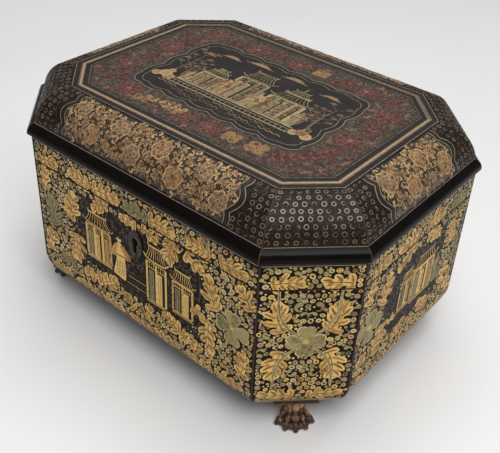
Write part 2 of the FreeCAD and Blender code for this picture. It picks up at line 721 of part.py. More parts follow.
def link_plate(screw_holes):
    """The plate in the lid's edge, with two loops that drop through the selvedge."""
    top = f"{LID_BOTTOM} + sizes.link_plate_thickness"
    pieces = [centred_block("link_base", "0", PLATE_HALF,
                            (SELVEDGE_FRONT, INNER_Y), (LID_BOTTOM, top))]
    eyes = []
    for i, middle in enumerate(LOOP_MIDDLES):
        pieces.append(centred_block(
            f"loop_{i}", middle, "sizes.loop_thickness / 2",
            (f"{BOLT_Y} - {LOOP_HALF_WIDTH}", f"{BOLT_Y} + {LOOP_HALF_WIDTH}"), (LOOP_BOTTOM, top)))
        eyes.append(centred_block(
            f"loop_eye_{i}", middle, "sizes.loop_thickness / 2 + sizes.cut_overrun",
            (f"{BOLT_FRONT} - sizes.loop_play", f"{BOLT_BACK} + sizes.loop_play"),
            (f"{LOOP_BOTTOM} + sizes.loop_sill", f"{PRONG_TOP} + sizes.loop_play")))
    return carve("link_plate_cut", join("link_plate_blank", pieces), eyes + screw_holes)


def link_mortise():
    """The tool that lets the link plate into the lid's front board."""
    half = f"{PLATE_HALF} + sizes.lock_plate_clearance"
    across = (f"{SELVEDGE_FRONT} - sizes.lock_plate_clearance", f"{INNER_Y} + sizes.cut_overrun")
    levels = (f"{LID_BOTTOM} - sizes.cut_overrun", f"{LID_BOTTOM} + sizes.link_plate_thickness")
    return [centred_block("link_bed", "0", half, across, levels)]


def keyhole():
    """The tool for the keyhole, from outside the plate into the lock."""
    outside = f"(-{HALF_DEPTH} - sizes.escutcheon_thickness - sizes.cut_overrun)"
    level = f"{WALL_TOP} - sizes.keyhole_drop"
    eye = rod("keyhole_eye", ("0", PLATE_FACE, level), "forward", "sizes.keyhole_radius",
              f"{PLATE_FACE} - {outside}")
    slot = centred_block("keyhole_slot", "0", "sizes.keyhole_slot_width / 2", (outside, PLATE_FACE),
                         (f"{level} - sizes.keyhole_slot_drop", level))
    return join("keyhole", [eye, slot])


ESCUTCHEON_Z = f"({WALL_TOP} - sizes.escutcheon_drop)"
ESCUTCHEON_FACE = f"(-{HALF_DEPTH} - sizes.escutcheon_thickness)"


def escutcheon(key_tool, pin_holes):
    """The oval plate round the keyhole."""
    oval = doc.addObject("Part::Ellipse", "escutcheon_oval")
    oval.Placement.Rotation = TURNS["forward"].multiply(FreeCAD.Rotation(Z_AXIS, 90))
    bind(oval, ("0", f"-{HALF_DEPTH}", ESCUTCHEON_Z), MajorRadius="sizes.escutcheon_height / 2",
         MinorRadius="sizes.escutcheon_width / 2")
    plate = doc.addObject("Part::Extrusion", "escutcheon_blank")
    plate.Base = oval
    plate.DirMode = "Custom"
    plate.Dir = -Y_AXIS
    plate.Solid = True
    bind(plate, LengthFwd="sizes.escutcheon_thickness")
    return carve("escutcheon_cut", plate, [key_tool] + pin_holes)


def escutcheon_pins():
    """The pins above and below the keyhole and the tools for their holes."""
    pins = []
    holes = []
    backward = TURNS["forward"].inverted()
    edge = "(sizes.escutcheon_height / 2 - sizes.escutcheon_pin_edge)"
    for i, sign in enumerate("-+"):
        place = ("0", f"{ESCUTCHEON_FACE} - sizes.escutcheon_pin_rise", f"{ESCUTCHEON_Z} {sign} {edge}")
        for made, grown in ((pins, "0"), (holes, "sizes.escutcheon_pin_clearance")):
            pin = rod(f"escutcheon_pin_{i}", place, "up", f"sizes.escutcheon_pin_radius + {grown}",
                      f"sizes.escutcheon_pin_length + {grown}")
            pin.Placement.Rotation = backward
            made.append(pin)
    return pins, holes


# The carcass with its lock, hinges and feet

key_tool = keyhole()
pin_solids, pin_holes = escutcheon_pins()
lock_screw_places = [
    (f"{sign}({PLATE_HALF} - sizes.lock_screw_edge)", INNER_Y,
     f"{WALL_TOP} - sizes.lock_screw_drop")
    for sign in ("-", "")
]
lock_screws, lock_screw_holes = screw_set("lock_screw", lock_screw_places, "forward")
extra_cuts = {
    "front": lock_mortise() + [key_tool] + pin_holes + lock_screw_holes,
    "back": hinge_half("lower", "down"),
}
for side in SIDES:
    board = wall_board(side)
    if side in extra_cuts:
        board = carve(f"{side}_wall_cut", board, extra_cuts[side])
    name_node(board, f"{side}_wall")

bottom = octagon_board("bottom_octagon", f"({REBATE_EDGE} + sizes.board_clearance)", UNDERSIDE,
                       "sizes.board_thickness")
name_node(carve("bottom_cut", bottom, tenon_mortises()), "bottom_board")
for side in CANTED_SIDES:
    name_node(paw_foot(side), f"{side}_foot")

name_node(escutcheon(key_tool, pin_holes), "escutcheon")
name_node(join("escutcheon_pin_set", pin_solids), "escutcheon_pins")
name_node(lock_plate(lock_screw_holes), "lock_plate")
name_node(join("lock_screw_set", lock_screws), "lock_screws")
name_node(lock_bolt(), "lock_bolt")
name_node(bolt_guides(), "bolt_guides")
name_node(bolt_spring(), "bolt_spring")
hinge_pins()

# The lid

link_row_y = f"({SELVEDGE_FRONT} + {INNER_Y}) / 2"
link_screw_places = [
    (f"{sign}({PLATE_HALF} - sizes.link_screw_edge)", link_row_y, LID_BOTTOM)
    for sign in ("-", "")
]
link_screws, link_screw_holes = screw_set("link_screw", link_screw_places, "up")
lid_cuts = {
    "front": link_mortise() + link_screw_holes,
    "back": hinge_half("upper", "up"),
}
for side in SIDES:
    board = lid_board(side)
    if side in lid_cuts:
        board = carve(f"{side}_lid_cut", board, lid_cuts[side])
    name_node(board, f"{side}_lid_wall")
    name_node(rim_moulding(side), f"{side}_rim")
    name_node(dome_slope(side), f"{side}_slope")
panel = octagon_board("panel_octagon", PANEL_EDGE, PANEL_SEAT, "sizes.panel_thickness")
name_node(panel, "top_panel")
name_node(link_plate(link_screw_holes), "link_plate")
name_node(join("link_screw_set", link_screws), "link_plate_screws")

doc.recompute()
for item in doc.Objects:
    if "Invalid" in item.State or "Error" in item.State:
        raise RuntimeError(f"{item.Name} failed: {item.State}")
for item in nodes:
    if item.Shape.isNull() or not item.Shape.isValid():
        raise RuntimeError(f"{item.Label} has no valid shape")

os.makedirs("parts", exist_ok=True)
for item in nodes:
    item.Shape.exportStep(f"parts/{item.Label}.step")
print(f"{len(nodes)} sub-parts written")
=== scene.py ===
import json
import math
import random

import bmesh
import bpy
import numpy as np
from mathutils import Matrix, Vector


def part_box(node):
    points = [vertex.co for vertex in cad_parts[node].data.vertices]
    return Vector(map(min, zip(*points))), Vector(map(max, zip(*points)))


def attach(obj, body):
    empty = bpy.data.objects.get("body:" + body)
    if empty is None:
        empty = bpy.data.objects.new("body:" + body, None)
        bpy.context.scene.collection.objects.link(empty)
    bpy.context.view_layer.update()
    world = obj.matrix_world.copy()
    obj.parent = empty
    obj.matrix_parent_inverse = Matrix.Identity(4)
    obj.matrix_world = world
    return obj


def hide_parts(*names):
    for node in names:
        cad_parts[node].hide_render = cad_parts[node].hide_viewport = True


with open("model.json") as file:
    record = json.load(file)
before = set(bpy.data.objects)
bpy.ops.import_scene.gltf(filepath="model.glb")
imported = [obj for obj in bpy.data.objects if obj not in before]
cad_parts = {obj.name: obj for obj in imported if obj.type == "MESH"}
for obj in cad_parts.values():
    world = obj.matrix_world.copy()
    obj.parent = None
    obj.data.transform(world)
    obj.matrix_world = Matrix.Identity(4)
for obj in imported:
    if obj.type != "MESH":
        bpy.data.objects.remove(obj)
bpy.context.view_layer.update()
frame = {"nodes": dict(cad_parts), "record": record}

# Lacquer box: thin raised gilding on every face, carved paw feet, lacquer and aged brass.
# Patterns are drawn in millimetres, u along a face and v up it, and are placed in metres.

MM = 0.001
CORNER_ANGLE = math.radians(45)
MITRE = math.tan(CORNER_ANGLE / 2)

# Sizes of the frame, in millimetres


def corner(node, end, axis):
    """One coordinate of a node's box: end 0 is its lowest corner and end 1 its highest."""
    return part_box(node)[end][axis] / MM


HALF_WIDTH = corner("right_wall", 1, 0)
HALF_DEPTH = corner("back_wall", 1, 1)
LONG_SIDE = 2 * corner("front_wall", 1, 0)
SHORT_SIDE = 2 * corner("right_wall", 1, 1)
CORNER_LEG = HALF_WIDTH - LONG_SIDE / 2
WALL_BOTTOM = corner("front_wall", 0, 2)
WALL_HEIGHT = corner("front_wall", 1, 2) - WALL_BOTTOM
LID_BOTTOM = corner("front_lid_wall", 0, 2)
BAND_HEIGHT = corner("front_lid_wall", 1, 2) - LID_BOTTOM
LID_TOP = corner("top_panel", 1, 2)
PANEL_INSET = HALF_DEPTH - corner("top_panel", 1, 1)
DOME_INSET = HALF_DEPTH + corner("front_slope", 0, 1)
DOME_RUN = PANEL_INSET - DOME_INSET
DOME_RISE = LID_TOP - corner("front_slope", 0, 2)
DOME_RADIUS = (DOME_RUN ** 2 + DOME_RISE ** 2) / (2 * DOME_RISE)
DOME_ANGLE = math.asin(DOME_RUN / DOME_RADIUS)
DOME_ARC = DOME_RADIUS * DOME_ANGLE
BASE_ROUND_HEIGHT = 17.0
BASE_ROUND_INSET = 5.0
BASE_RADIUS = (BASE_ROUND_HEIGHT ** 2 + BASE_ROUND_INSET ** 2) / (2 * BASE_ROUND_INSET)
UP = np.array((0.0, 0.0, 1.0))


class Side:
    """One of the eight sides of the plan: its middle, its directions and its length."""

    def __init__(self, name, number):
        turn = number * CORNER_ANGLE
        self.name = name
        self.turn = turn
        self.along = np.array((math.cos(turn), math.sin(turn), 0.0))
        self.outward = np.array((math.sin(turn), -math.cos(turn), 0.0))
        self.canted = number % 2 == 1
        if self.canted:
            reach = np.array((HALF_WIDTH - CORNER_LEG / 2, HALF_DEPTH - CORNER_LEG / 2, 0.0))
            self.middle = np.sign(self.outward) * reach
            self.length = CORNER_LEG * math.sqrt(2)
        else:
            self.middle = self.outward * np.array((HALF_WIDTH, HALF_DEPTH, 0.0))
            self.length = LONG_SIDE if number % 4 == 0 else SHORT_SIDE

    def point(self, u, inset, level):
        """Points of this side, from arrays of places along it, insets and levels."""
        flat = self.middle + np.outer(u, self.along) - np.outer(inset, self.outward)
        return flat + np.outer(level, UP)

    def normal(self, tilt):
        """Outward directions, tilted up by an array of angles."""
        return np.outer(np.cos(tilt), self.outward) + np.outer(np.sin(tilt), UP)


SIDE_NAMES = ("front", "front_right", "right", "back_right", "back", "back_left", "left", "front_left")
SIDES = [Side(name, number) for number, name in enumerate(SIDE_NAMES)]

# Faces: sections give inset, level and tilt in millimetres at heights up a face


def wall_section(v):
    """The outer face of a wall, turned under at its base."""
    drop = np.clip(BASE_ROUND_HEIGHT - v, 0, None)
    inset = BASE_RADIUS - np.sqrt(BASE_RADIUS ** 2 - drop ** 2)
    return inset, WALL_BOTTOM + v, -np.arcsin(drop / BASE_RADIUS)


def band_section(v):
    """The flat outer face of a lid wall."""
    still = np.zeros_like(v)
    return still, LID_BOTTOM + v, still


def dome_section(v):
    """The rounded slope of the lid, v measured along its arc."""
    angle = DOME_ANGLE - v / DOME_RADIUS
    inset = PANEL_INSET - DOME_RADIUS * np.sin(angle)
    return inset, LID_TOP - DOME_RADIUS * (1 - np.cos(angle)), math.pi / 2 - angle


def surface(side, section, squeezed=True):
    """A face of one side, from pattern points to places and normals, narrowed with its inset if squeezed."""
    def place(uv):
        u, v = uv.T
        inset, level, tilt = section(v)
        squeeze = 1 - inset * MITRE / (side.length / 2) if squeezed else 1
        return side.point(u * squeeze, inset, level), side.normal(tilt)
    return place


def slope_half(side, v):
    """Half the length of a slope at a height along its arc."""
    return side.length / 2 - dome_section(v)[0] * MITRE


def top_surface(uv):
    """The flat top of the lid."""
    u, v = uv.T
    return np.stack((u, v, np.full_like(u, LID_TOP)), 1), np.tile(UP, (len(u), 1))


# Gilding

CELL = 0.4
LAYER = 0.03
LAYER_STEP = 0.0012
LAYER_STEPS = 20
SINK = 0.02
FINEST = 0.16
FACE_MARGIN = 0.35


def toward(angle):
    """The unit direction at an angle."""
    return np.array((math.cos(angle), math.sin(angle)))


def spokes(angles):
    """Unit directions at an array of angles."""
    return np.stack((np.cos(angles), np.sin(angles)), 1)


def unit(steps):
    """Steps brought to a length of one."""
    return steps / np.linalg.norm(steps, axis=1)[:, None]


def leftward(ahead):
    """Directions a quarter turn to the left."""
    return np.stack((-ahead[:, 1], ahead[:, 0]), 1)


def patch(*corners):
    """Faces from four arrays of corner numbers."""
    return np.stack(corners, -1).reshape(-1, 4)


def add_object(name, data):
    """A new object in the scene."""
    piece = bpy.data.objects.new(name, data)
    bpy.context.scene.collection.objects.link(piece)
    return piece


class Gilding:
    """Thin raised shapes on one face, gathered into one mesh, with a map of what is taken."""

    def __init__(self, name, place, low, high, column=None):
        self.name = name
        self.place = place
        self.column = column
        self.points = []
        self.quads = []
        self.tones = []
        self.count = 0
        self.drawn = 0
        self.low = np.array(low, float)
        self.high = np.array(high, float)
        cells = np.ceil((self.high - self.low) / CELL).astype(int)
        self.taken = np.zeros(cells, bool)

    def trim(self, left, right):
        """Cut two rows of points at the edges of the face, and drop the steps that vanish there."""
        left = np.clip(left, self.low + FACE_MARGIN, self.high - FACE_MARGIN)
        right = np.clip(right, self.low + FACE_MARGIN, self.high - FACE_MARGIN)
        kept = []
        for i in range(len(left)):
            wide = np.abs(left[i] - right[i]).max() > FINEST / 2
            if kept and wide:
                moved = np.abs(left[i] - left[kept[-1]]).max() + np.abs(right[i] - right[kept[-1]]).max()
                wide = moved > FINEST / 4
            if wide:
                kept.append(i)
        return left[kept], right[kept]

    def mark(self, outline):
        """Take the cells inside an outline."""
        outline = (np.asarray(outline, float) - self.low) / CELL
        first = np.clip(np.floor(outline.min(0)).astype(int), 0, None)
        last = np.minimum(np.ceil(outline.max(0)).astype(int) + 1, self.taken.shape)
        if (last <= first).any():
            return
        x = np.arange(first[0], last[0])[:, None, None] + 0.5
        y = np.arange(first[1], last[1])[None, :, None] + 0.5
        ax, ay = outline.T
        bx, by = np.roll(outline, -1, 0).T
        crosses = (ay > y) != (by > y)
        rise = np.where(by == ay, 1.0, by - ay)
        inside = (crosses & (x < ax + (y - ay) * (bx - ax) / rise)).sum(2) % 2 == 1
        self.taken[first[0]:last[0], first[1]:last[1]] |= inside

    def free(self, x, y, radius):
        """Whether a round place is inside the map and untaken."""
        cx, cy = (np.array((x, y)) - self.low) / CELL
        reach = radius / CELL
        i0, i1 = math.floor(cx - reach), math.ceil(cx + reach)
        j0, j1 = math.floor(cy - reach), math.ceil(cy + reach)
        if i0 < 0 or j0 < 0 or i1 > self.taken.shape[0] or j1 > self.taken.shape[1]:
            return False
        i = np.arange(i0, i1)[:, None] + 0.5
        j = np.arange(j0, j1)[None, :] + 0.5
        near = (i - cx) ** 2 + (j - cy) ** 2 <= reach ** 2
        return not (self.taken[i0:i1, j0:j1] & near).any()

    def ribbon(self, left, right, tone, layer=1, closed=False, fill=True):
        """A closed thin solid between two rows of pattern points, whose room is taken with fill."""
        left, right = np.asarray(left, float), np.asarray(right, float)
        if not closed:
            left, right = self.trim(left, right)
        if len(left) < 2:
            return
        widest = np.linalg.norm(left - right, axis=1).max()
        columns = 1 if self.column is None else max(1, math.ceil(widest / self.column))
        share = np.linspace(0, 1, columns + 1)[None, :, None]
        grid = left[:, None] * (1 - share) + right[:, None] * share
        where, normal = self.place(grid.reshape(-1, 2))
        lift = LAYER * (layer + 1) + LAYER_STEP * (self.drawn % LAYER_STEPS)
        self.points += [where + normal * lift, where - normal * SINK]
        size = len(where)
        top = np.arange(size).reshape(len(left), columns + 1)
        if closed:
            top = np.vstack((top, top[:1]))
        top = top + self.count
        under = top + size
        quads = [
            patch(top[:-1, :-1], top[:-1, 1:], top[1:, 1:], top[1:, :-1]),
            patch(under[:-1, :-1], under[1:, :-1], under[1:, 1:], under[:-1, 1:]),
            patch(top[:-1, 0], top[1:, 0], under[1:, 0], under[:-1, 0]),
            patch(top[1:, -1], top[:-1, -1], under[:-1, -1], under[1:, -1]),
        ]
        if not closed:
            quads.append(patch(top[0, 1:], top[0, :-1], under[0, :-1], under[0, 1:]))
            quads.append(patch(top[-1, :-1], top[-1, 1:], under[-1, 1:], under[-1, :-1]))
        quads = np.vstack(quads)
        self.quads.append(quads)
        self.tones += [tone] * len(quads)
        self.count += 2 * size
        self.drawn += 1
        if fill:
            self.mark(right if closed else np.vstack((left, right[::-1])))

    def brush(self, points, widths, tone, layer=1):
        """A stroke along points with a width, or one width for each point."""
        points = np.asarray(points, float)
        widths = np.clip(np.broadcast_to(widths, len(points)), FINEST, None)
        across = leftward(unit(np.gradient(points, axis=0))) * widths[:, None] / 2
        self.ribbon(points + across, points - across, tone, layer)

    def bar(self, x, y, half, width, tone, layer=1):
        """A level line about its middle."""
        self.brush(((x - half, y), (x + half, y)), width, tone, layer)

    def post(self, x, low, high, width, tone, layer=1):
        """An upright line between two heights."""
        self.brush(((x, low), (x, high)), width, tone, layer)

    def loop(self, points, width, tone, layer=1):
        """A line of one width round a closed outline, given anticlockwise."""
        points = np.asarray(points, float)
        first = unit(points - np.roll(points, 1, 0))
        last = unit(np.roll(points, -1, 0) - points)
        ahead = unit(first + last)
        stretch = np.clip((ahead * first).sum(1), 0.5, 1)[:, None]
        across = leftward(ahead) * (width / 2 / stretch)
        self.ribbon(points + across, points - across, tone, layer, closed=True, fill=False)

    def ring(self, x, y, radius, width, tone, layer=1, steps=12):
        """A small round ring."""
        reach = spokes(np.arange(steps) * 2 * math.pi / steps)
        middle = np.array((x, y))
        self.ribbon(middle + reach * (radius - width), middle + reach * radius, tone, layer, True)

    def dot(self, x, y, radius, tone, layer=1, stretch=1.0, turn=0.0):
        """A small twelve-sided dot, or an oval one."""
        angles = np.radians(np.arange(15, 180, 30))
        along, across = -radius * stretch * np.cos(angles), radius / stretch * np.sin(angles)
        ahead = toward(turn)
        aside = np.array((-ahead[1], ahead[0]))
        middle = np.array((x, y)) + along[:, None] * ahead
        self.ribbon(middle + across[:, None] * aside, middle - across[:, None] * aside, tone, layer)

    def build(self, body, slot):
        """Make the mesh object and let it ride on a body."""
        mesh = bpy.data.meshes.new(self.name)
        points = np.vstack(self.points) * MM
        mesh.from_pydata(points.tolist(), [], np.vstack(self.quads).tolist())
        used = sorted(set(self.tones))
        for tone in used:
            mesh.materials.append(MATERIALS[tone])
        number = {tone: i for i, tone in enumerate(used)}
        mesh.polygons.foreach_set("material_index", [number[tone] for tone in self.tones])
        mesh.update()
        piece = add_object(self.name, mesh)
        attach(piece, body)


# Strokes and motifs

PETAL = ((0, 0.2, 0.5, 0.78, 0.94, 1), (0.18, 0.55, 0.92, 1, 0.66, 0.2))
LOBE = ((0, 0.3, 0.6, 0.84, 0.95, 1), (0.55, 0.8, 1, 0.84, 0.5, 0.12))
BLADE = ((0, 0.3, 0.7, 1), (0.3, 1, 0.7, 0.08))
TAPER = ((0, 0.15, 1), (0.75, 1, 0.25))
COMMA = ((0, 0.12, 0.3, 0.6, 1), (0.55, 1, 0.85, 0.45, 0.2))


def arc(start, heading, length, bend, steps):
    """Points from a start along a heading, turning evenly by a bend; angles in degrees."""
    middles = (np.arange(steps) + 0.5) / steps
    headings = np.radians(heading + bend * middles)
    run = spokes(headings) * length / steps
    return np.vstack((start, np.asarray(start) + np.cumsum(run, 0)))


def smooth(points, steps=6):
    """A smooth line through points."""
    points = np.asarray(points, float)
    ends = np.vstack((2 * points[0] - points[1], points, 2 * points[-1] - points[-2]))
    t = np.linspace(0, 1, steps, endpoint=False)[:, None]
    rows = []
    for a, b, c, d in zip(ends, ends[1:], ends[2:], ends[3:]):
        rows.append(0.5 * (2 * b + (c - a) * t + (2 * a - 5 * b + 4 * c - d) * t ** 2
                           + (3 * b - a - 3 * c + d) * t ** 3))
    return np.vstack(rows + [points[-1:]])


def shaped(g, points, shape, width, tone, layer=1):
    """A stroke whose width follows a table of shares."""
    g.brush(points, np.interp(np.linspace(0, 1, len(points)), *shape) * width, tone, layer)


SHADES = {"gold": "amber", "olive": "moss", "antique": "orange", "red": "rust", "straw": "stripe"}


def leaf(g, x, y, heading, length, width, bend, tone="gold"):
    """A deeply lobed leaf about a middle point, shaded along its lobes, with fine dark veins."""
    turn = math.radians(heading + bend / 2)
    foot = np.array((x, y)) - toward(turn) * length / 2
    steps = 15
    pairs = 4 if length > 18 else 3
    rib = arc(foot, heading, length, bend, steps)
    shaped(g, rib[:-2], ((0, 0.15, 0.5, 0.85, 1), (0.25, 0.9, 1, 0.8, 0.4)), width * 0.36, tone)
    lobe_width = 0.95 * 0.58 * length / (pairs - 1)
    shade = lobe_width * (0.5 if tone in ("gold", "olive") else 0.28)
    for k in range(pairs):
        share = k / (pairs - 1)
        i = round((0.08 + 0.58 * share) * steps)
        ahead = heading + bend * i / steps
        reach = width * np.interp(share, (0, 0.4, 1), (0.46, 0.6, 0.48))
        for sign in (1, -1):
            swing = ahead + sign * (84 - 42 * share + rng.uniform(-9, 9))
            lobe = arc(rib[i], swing, reach * rng.uniform(0.82, 1.14), -sign * rng.uniform(20, 48), 7)
            shaped(g, lobe, LOBE, lobe_width * rng.uniform(0.86, 1.06), tone)
            shaped(g, lobe[:7], BLADE, shade, SHADES[tone], 2)
            g.brush(lobe[1:7], 0.28, "umber", 3)
            for edge in (0.3, -0.3):
                beside = arc(rib[i], swing + edge * 90, reach * 0.62, -edge * 80, 4)
                g.brush(beside[1:], 0.24, SHADES[tone], 3)
    shaped(g, rib[-6:], LOBE, width * 0.36, tone)
    shaped(g, rib[1:-1], TAPER, 0.5, "umber", 3)


def quatrefoil(g, x, y, size):
    """Four heart-shaped olive petals with pale edges round a gilt eye."""
    petal = ((0, 0.3, 0.7, 0.92, 1), (0.12, 0.55, 1, 0.86, 0.4))
    for edge, layer, tone in ((0.35, 1, "pale"), (-0.35, 2, "olive")):
        for heading in (90, 180, 270, 360):
            for sign in (1, -1):
                lobe = arc((x, y), heading + sign * 17, size + edge, -sign * 8, 7)
                shaped(g, lobe, petal, size * 0.56 + 2 * edge, tone, layer)
    g.ring(x, y, size * 0.17, size * 0.07, "gold", 3)
    g.dot(x, y, size * 0.07, "gold", 3)


def curl(g, x, y, heading, size, bend, tone):
    """A comma-shaped curl."""
    shaped(g, arc((x, y), heading, size, bend, 9), COMMA, size * 0.34, tone)


def free_places(g, half, low, high, reach, tries):
    """Random places with free room round them, out of a number of tries."""
    for _ in range(tries):
        u, v = rng.uniform(-half, half), rng.uniform(low, high)
        if g.free(u, v, reach):
            yield u, v


BEAD = 1.75
BEAD_GAP = 0.6
EDGE_MARGIN = 1.5
EDGE_END = 3.0
BEAD_TONES = ("pale", "pale", "pale", "pale", "gold", "gold", "olive")
MIDDLE_TONES = ("olive", "olive", "amber", "moss", "copper", "umber")


def bead(g, x, y, radius, tones=BEAD_TONES):
    """A gilt disc, a little out of round, with a darker middle or a fine ring cut in it."""
    stretch, turn = rng.uniform(0.88, 1.16), rng.uniform(0, math.pi)
    g.dot(x, y, radius, rng.choice(tones), 1, stretch, turn)
    if radius > 0.9:
        if rng.random() < 0.3:
            g.ring(x, y, radius * rng.uniform(0.5, 0.7), 0.32, "umber", 3, 9)
        else:
            g.dot(x, y, radius * rng.uniform(0.4, 0.6), rng.choice(MIDDLE_TONES), 3, stretch, turn)


def fill_beads(g, half, top, tries):
    """Fill the free room of a face with beads: loose rows first, then smaller ones."""
    reach, foot = half - EDGE_MARGIN, 0.5
    pitch = 2 * BEAD + BEAD_GAP
    for row, v in enumerate(np.arange(foot + BEAD, top, pitch * 0.87)):
        for u in np.arange(-reach + pitch / 2 * (1 + row % 2), reach, pitch):
            x, y = u + rng.uniform(-0.4, 0.4), v + rng.uniform(-0.4, 0.4)
            size = BEAD * rng.uniform(0.86, 1.06)
            if g.free(x, y, size + BEAD_GAP / 4):
                bead(g, x, y, size)
    for size, share in ((0.9, 1.0), (0.7, 1.4), (0.52, 1.6), (0.36, 2.0)):
        for x, y in free_places(g, reach, foot, top, BEAD * size + BEAD_GAP / 3, int(tries * share)):
            bead(g, x, y, BEAD * size * rng.uniform(0.94, 1.04))


def peony(g, x, y, radius, inner, turn):
    """A full flower: two rings of petals with bright outlines and veins, round a small heart."""
    for ring, (share, count) in enumerate(((1.0, 7), (0.6, 5))):
        layer = 1 + 3 * ring
        for k in range(count):
            heading = turn + 360 * (k + 0.5 * ring) / count
            petal = arc((x, y), heading, radius * share, 16, 7)
            wide = radius * share * (0.84 if ring == 0 else 0.92)
            shaped(g, petal, PETAL, wide, "antique", layer)
            shaped(g, petal[1:7], PETAL, wide * 0.66, inner, layer + 1)
            for swing in (-16, 16):
                vein = arc((x, y), heading + swing, radius * share * 0.74, 0, 4)
                g.brush(vein[2:], 0.3, "antique", layer + 2)
    g.dot(x, y, radius * 0.2, inner, 7)
    g.ring(x, y, radius * 0.2, 0.4, "antique", 8)


def rock(g, x, y, size, tone):
    """Stacked rounded stones with a few lines on each."""
    for dx, dy, share in ((-0.5, 0.3, 0.36), (0.5, 0.35, 0.42), (0.0, 0.65, 0.46), (0.1, 1.15, 0.28)):
        u, v = x + dx * size, y + dy * size
        radius = size * share
        g.dot(u, v, radius, tone)
        for k in (-1, 1):
            g.brush(arc((u + k * radius * 0.3, v - radius * 0.5), 80, radius, k * 30, 4), 0.3, "umber", 3)


def tree(g, x, y, height, tone, lean=12):
    """A thin trunk with branches that carry fans of small leaves."""
    trunk = arc((x, y), 90 - lean, height, 2 * lean, 10)
    shaped(g, trunk, TAPER, height * 0.05 + 0.4, tone)
    for k in (3, 5, 7, 10):
        for sign in (1, -1):
            branch = arc(trunk[k], 90 - sign * 62, height * 0.26, sign * 20, 5)
            g.brush(branch, 0.42, tone)
            for heading in range(20, 180, 26):
                shaped(g, arc(branch[-1], heading, height * 0.1, 0, 3), BLADE, height * 0.03, tone)


def cloud(g, x, y, length, tone):
    """Drifting bands with a curled end."""
    for k, share in enumerate((1.0, 0.72, 0.5)):
        line = arc((x - length * share / 2, y + 1.5 * k), 8, length * share, -16, 8)
        shaped(g, line, ((0, 0.3, 0.8, 1), (0.2, 1, 0.9, 0.2)), 1.0, tone)


def roof(g, x, y, half, rise, tone):
    """A swept roof: eaves that turn up, tile lines and a ridge with finials."""
    eave = smooth(((x - half, y + rise * 0.28), (x - half * 0.7, y), (x, y - rise * 0.06),
                   (x + half * 0.7, y), (x + half, y + rise * 0.28)), 5)
    g.brush(eave, 0.9, tone)
    ridge_y = y + rise
    for share in np.linspace(-1, 1, 9):
        tile = [(x + share * half * a, y + rise * b) for a, b in ((0.78, 0.1), (0.6, 0.5), (0.5, 1))]
        g.brush(smooth(tile, 3), 0.4, tone)
    g.brush(((x - half * 0.58, ridge_y), (x, ridge_y - 0.2), (x + half * 0.58, ridge_y)), 0.9, tone)
    for sign in (1, -1):
        finial = arc((x + sign * half * 0.55, ridge_y), 90 - sign * 30, rise * 0.3, sign * 60, 4)
        shaped(g, finial, TAPER, 0.8, tone)


def pavilion(g, x, y, width, height, tone, bays):
    """An open hall: a stepped platform, pillars, a beam with a lattice, screens and a swept roof."""
    half, bay = width / 2, width / bays
    eaves = y + height * 0.68
    beam = eaves - height * 0.1
    screens = ("olive" if tone == "gold" else "antique", tone, SHADES[tone])
    for k, level in enumerate((y - 0.6, y - 2.0)):
        g.bar(x, level, half + k, 0.7, tone)
    for k in range(bays + 1):
        g.post(x - half + width * k / bays, y, eaves, max(1.2, width * 0.1), tone)
    for level, thick in ((eaves, 1.1), (beam, 0.5)):
        g.bar(x, level, half, thick, tone)
    for k in range(bays):
        middle = x - half + bay * (k + 0.5)
        for sign in (-1, 0, 1):
            g.post(middle + sign * bay * 0.22, beam, eaves, 0.35, tone)
        middle -= bay * 0.14 if k % 2 else 0
        g.post(middle, y, eaves - height * 0.14, bay * 0.5, screens[k % 3])
        for shift in (-0.1, 0.1):
            g.post(middle + shift * bay, y + 1, eaves - height * 0.18, 0.3, "umber", 3)
    roof(g, x, eaves + height * 0.05, half * 1.34, height * 0.24, tone)


def figure(g, x, y, height, tone, sway=1):
    """A small standing figure in a long robe with wide sleeves, drawn with no features."""
    def at(across, up):
        return x + across * height, y + up * height

    robe = smooth((at(-0.03 * sway, 0), at(0.03 * sway, 0.4), at(0, 0.8)))
    shaped(g, robe, ((0, 0.1, 0.6, 0.86, 1), (0.96, 1, 0.66, 0.72, 0.24)), height * 0.32, tone)
    for sign, drop in ((1, 118), (-1, 138)):
        turn = sign * sway
        sleeve = arc(at(turn * 0.04, 0.74), 90 - turn * drop, height * 0.32, -turn * 46, 6)
        shaped(g, sleeve, ((0, 0.4, 0.85, 1), (0.5, 0.75, 1, 0.7)), height * 0.15, SHADES[tone], 2)
        g.brush(sleeve[2:7], 0.26, "umber", 3)
    for shift in (-0.09, -0.03, 0.04, 0.1):
        g.brush(robe[1:7] + (shift * height, 0), 0.26, "umber", 3)
    for row in range(4):
        for shift in (-0.06, 0.01, 0.07):
            g.dot(*at(shift, 0.08 + 0.09 * row), height * 0.014, SHADES[tone], 4)
    g.brush((at(-0.1, 0.5), at(0.13, 0.52)), 0.7, "umber", 3)
    g.dot(*at(0, 0.87), height * 0.062, tone)
    shaped(g, arc(at(-0.06, 0.89), 50, height * 0.13, -100, 5), PETAL, height * 0.075, "umber", 3)


def ripples(g, x, y, length, tone):
    """A line of low waves."""
    u = np.linspace(-length / 2, length / 2, 17)
    g.brush(np.stack((x + u, y + 0.5 * np.sin(u * 1.3)), 1), 0.42, tone)


# Walls

FLOWER_LEVEL = 54.0
RESERVE_LOW = 32.0
RESERVE_HIGH = 84.0
RESERVE_EDGE = 2.0
GRASS_TRIES = 2000
CURL_PITCH = 13.0
LINE = 0.35
LINE_LEVEL = 0.6
WALL_COLUMN = 3.0
CORNER_TRIES = 500
# Tries for each millimetre of a side
WALL_TRIES = 9
BAND_TRIES = 3


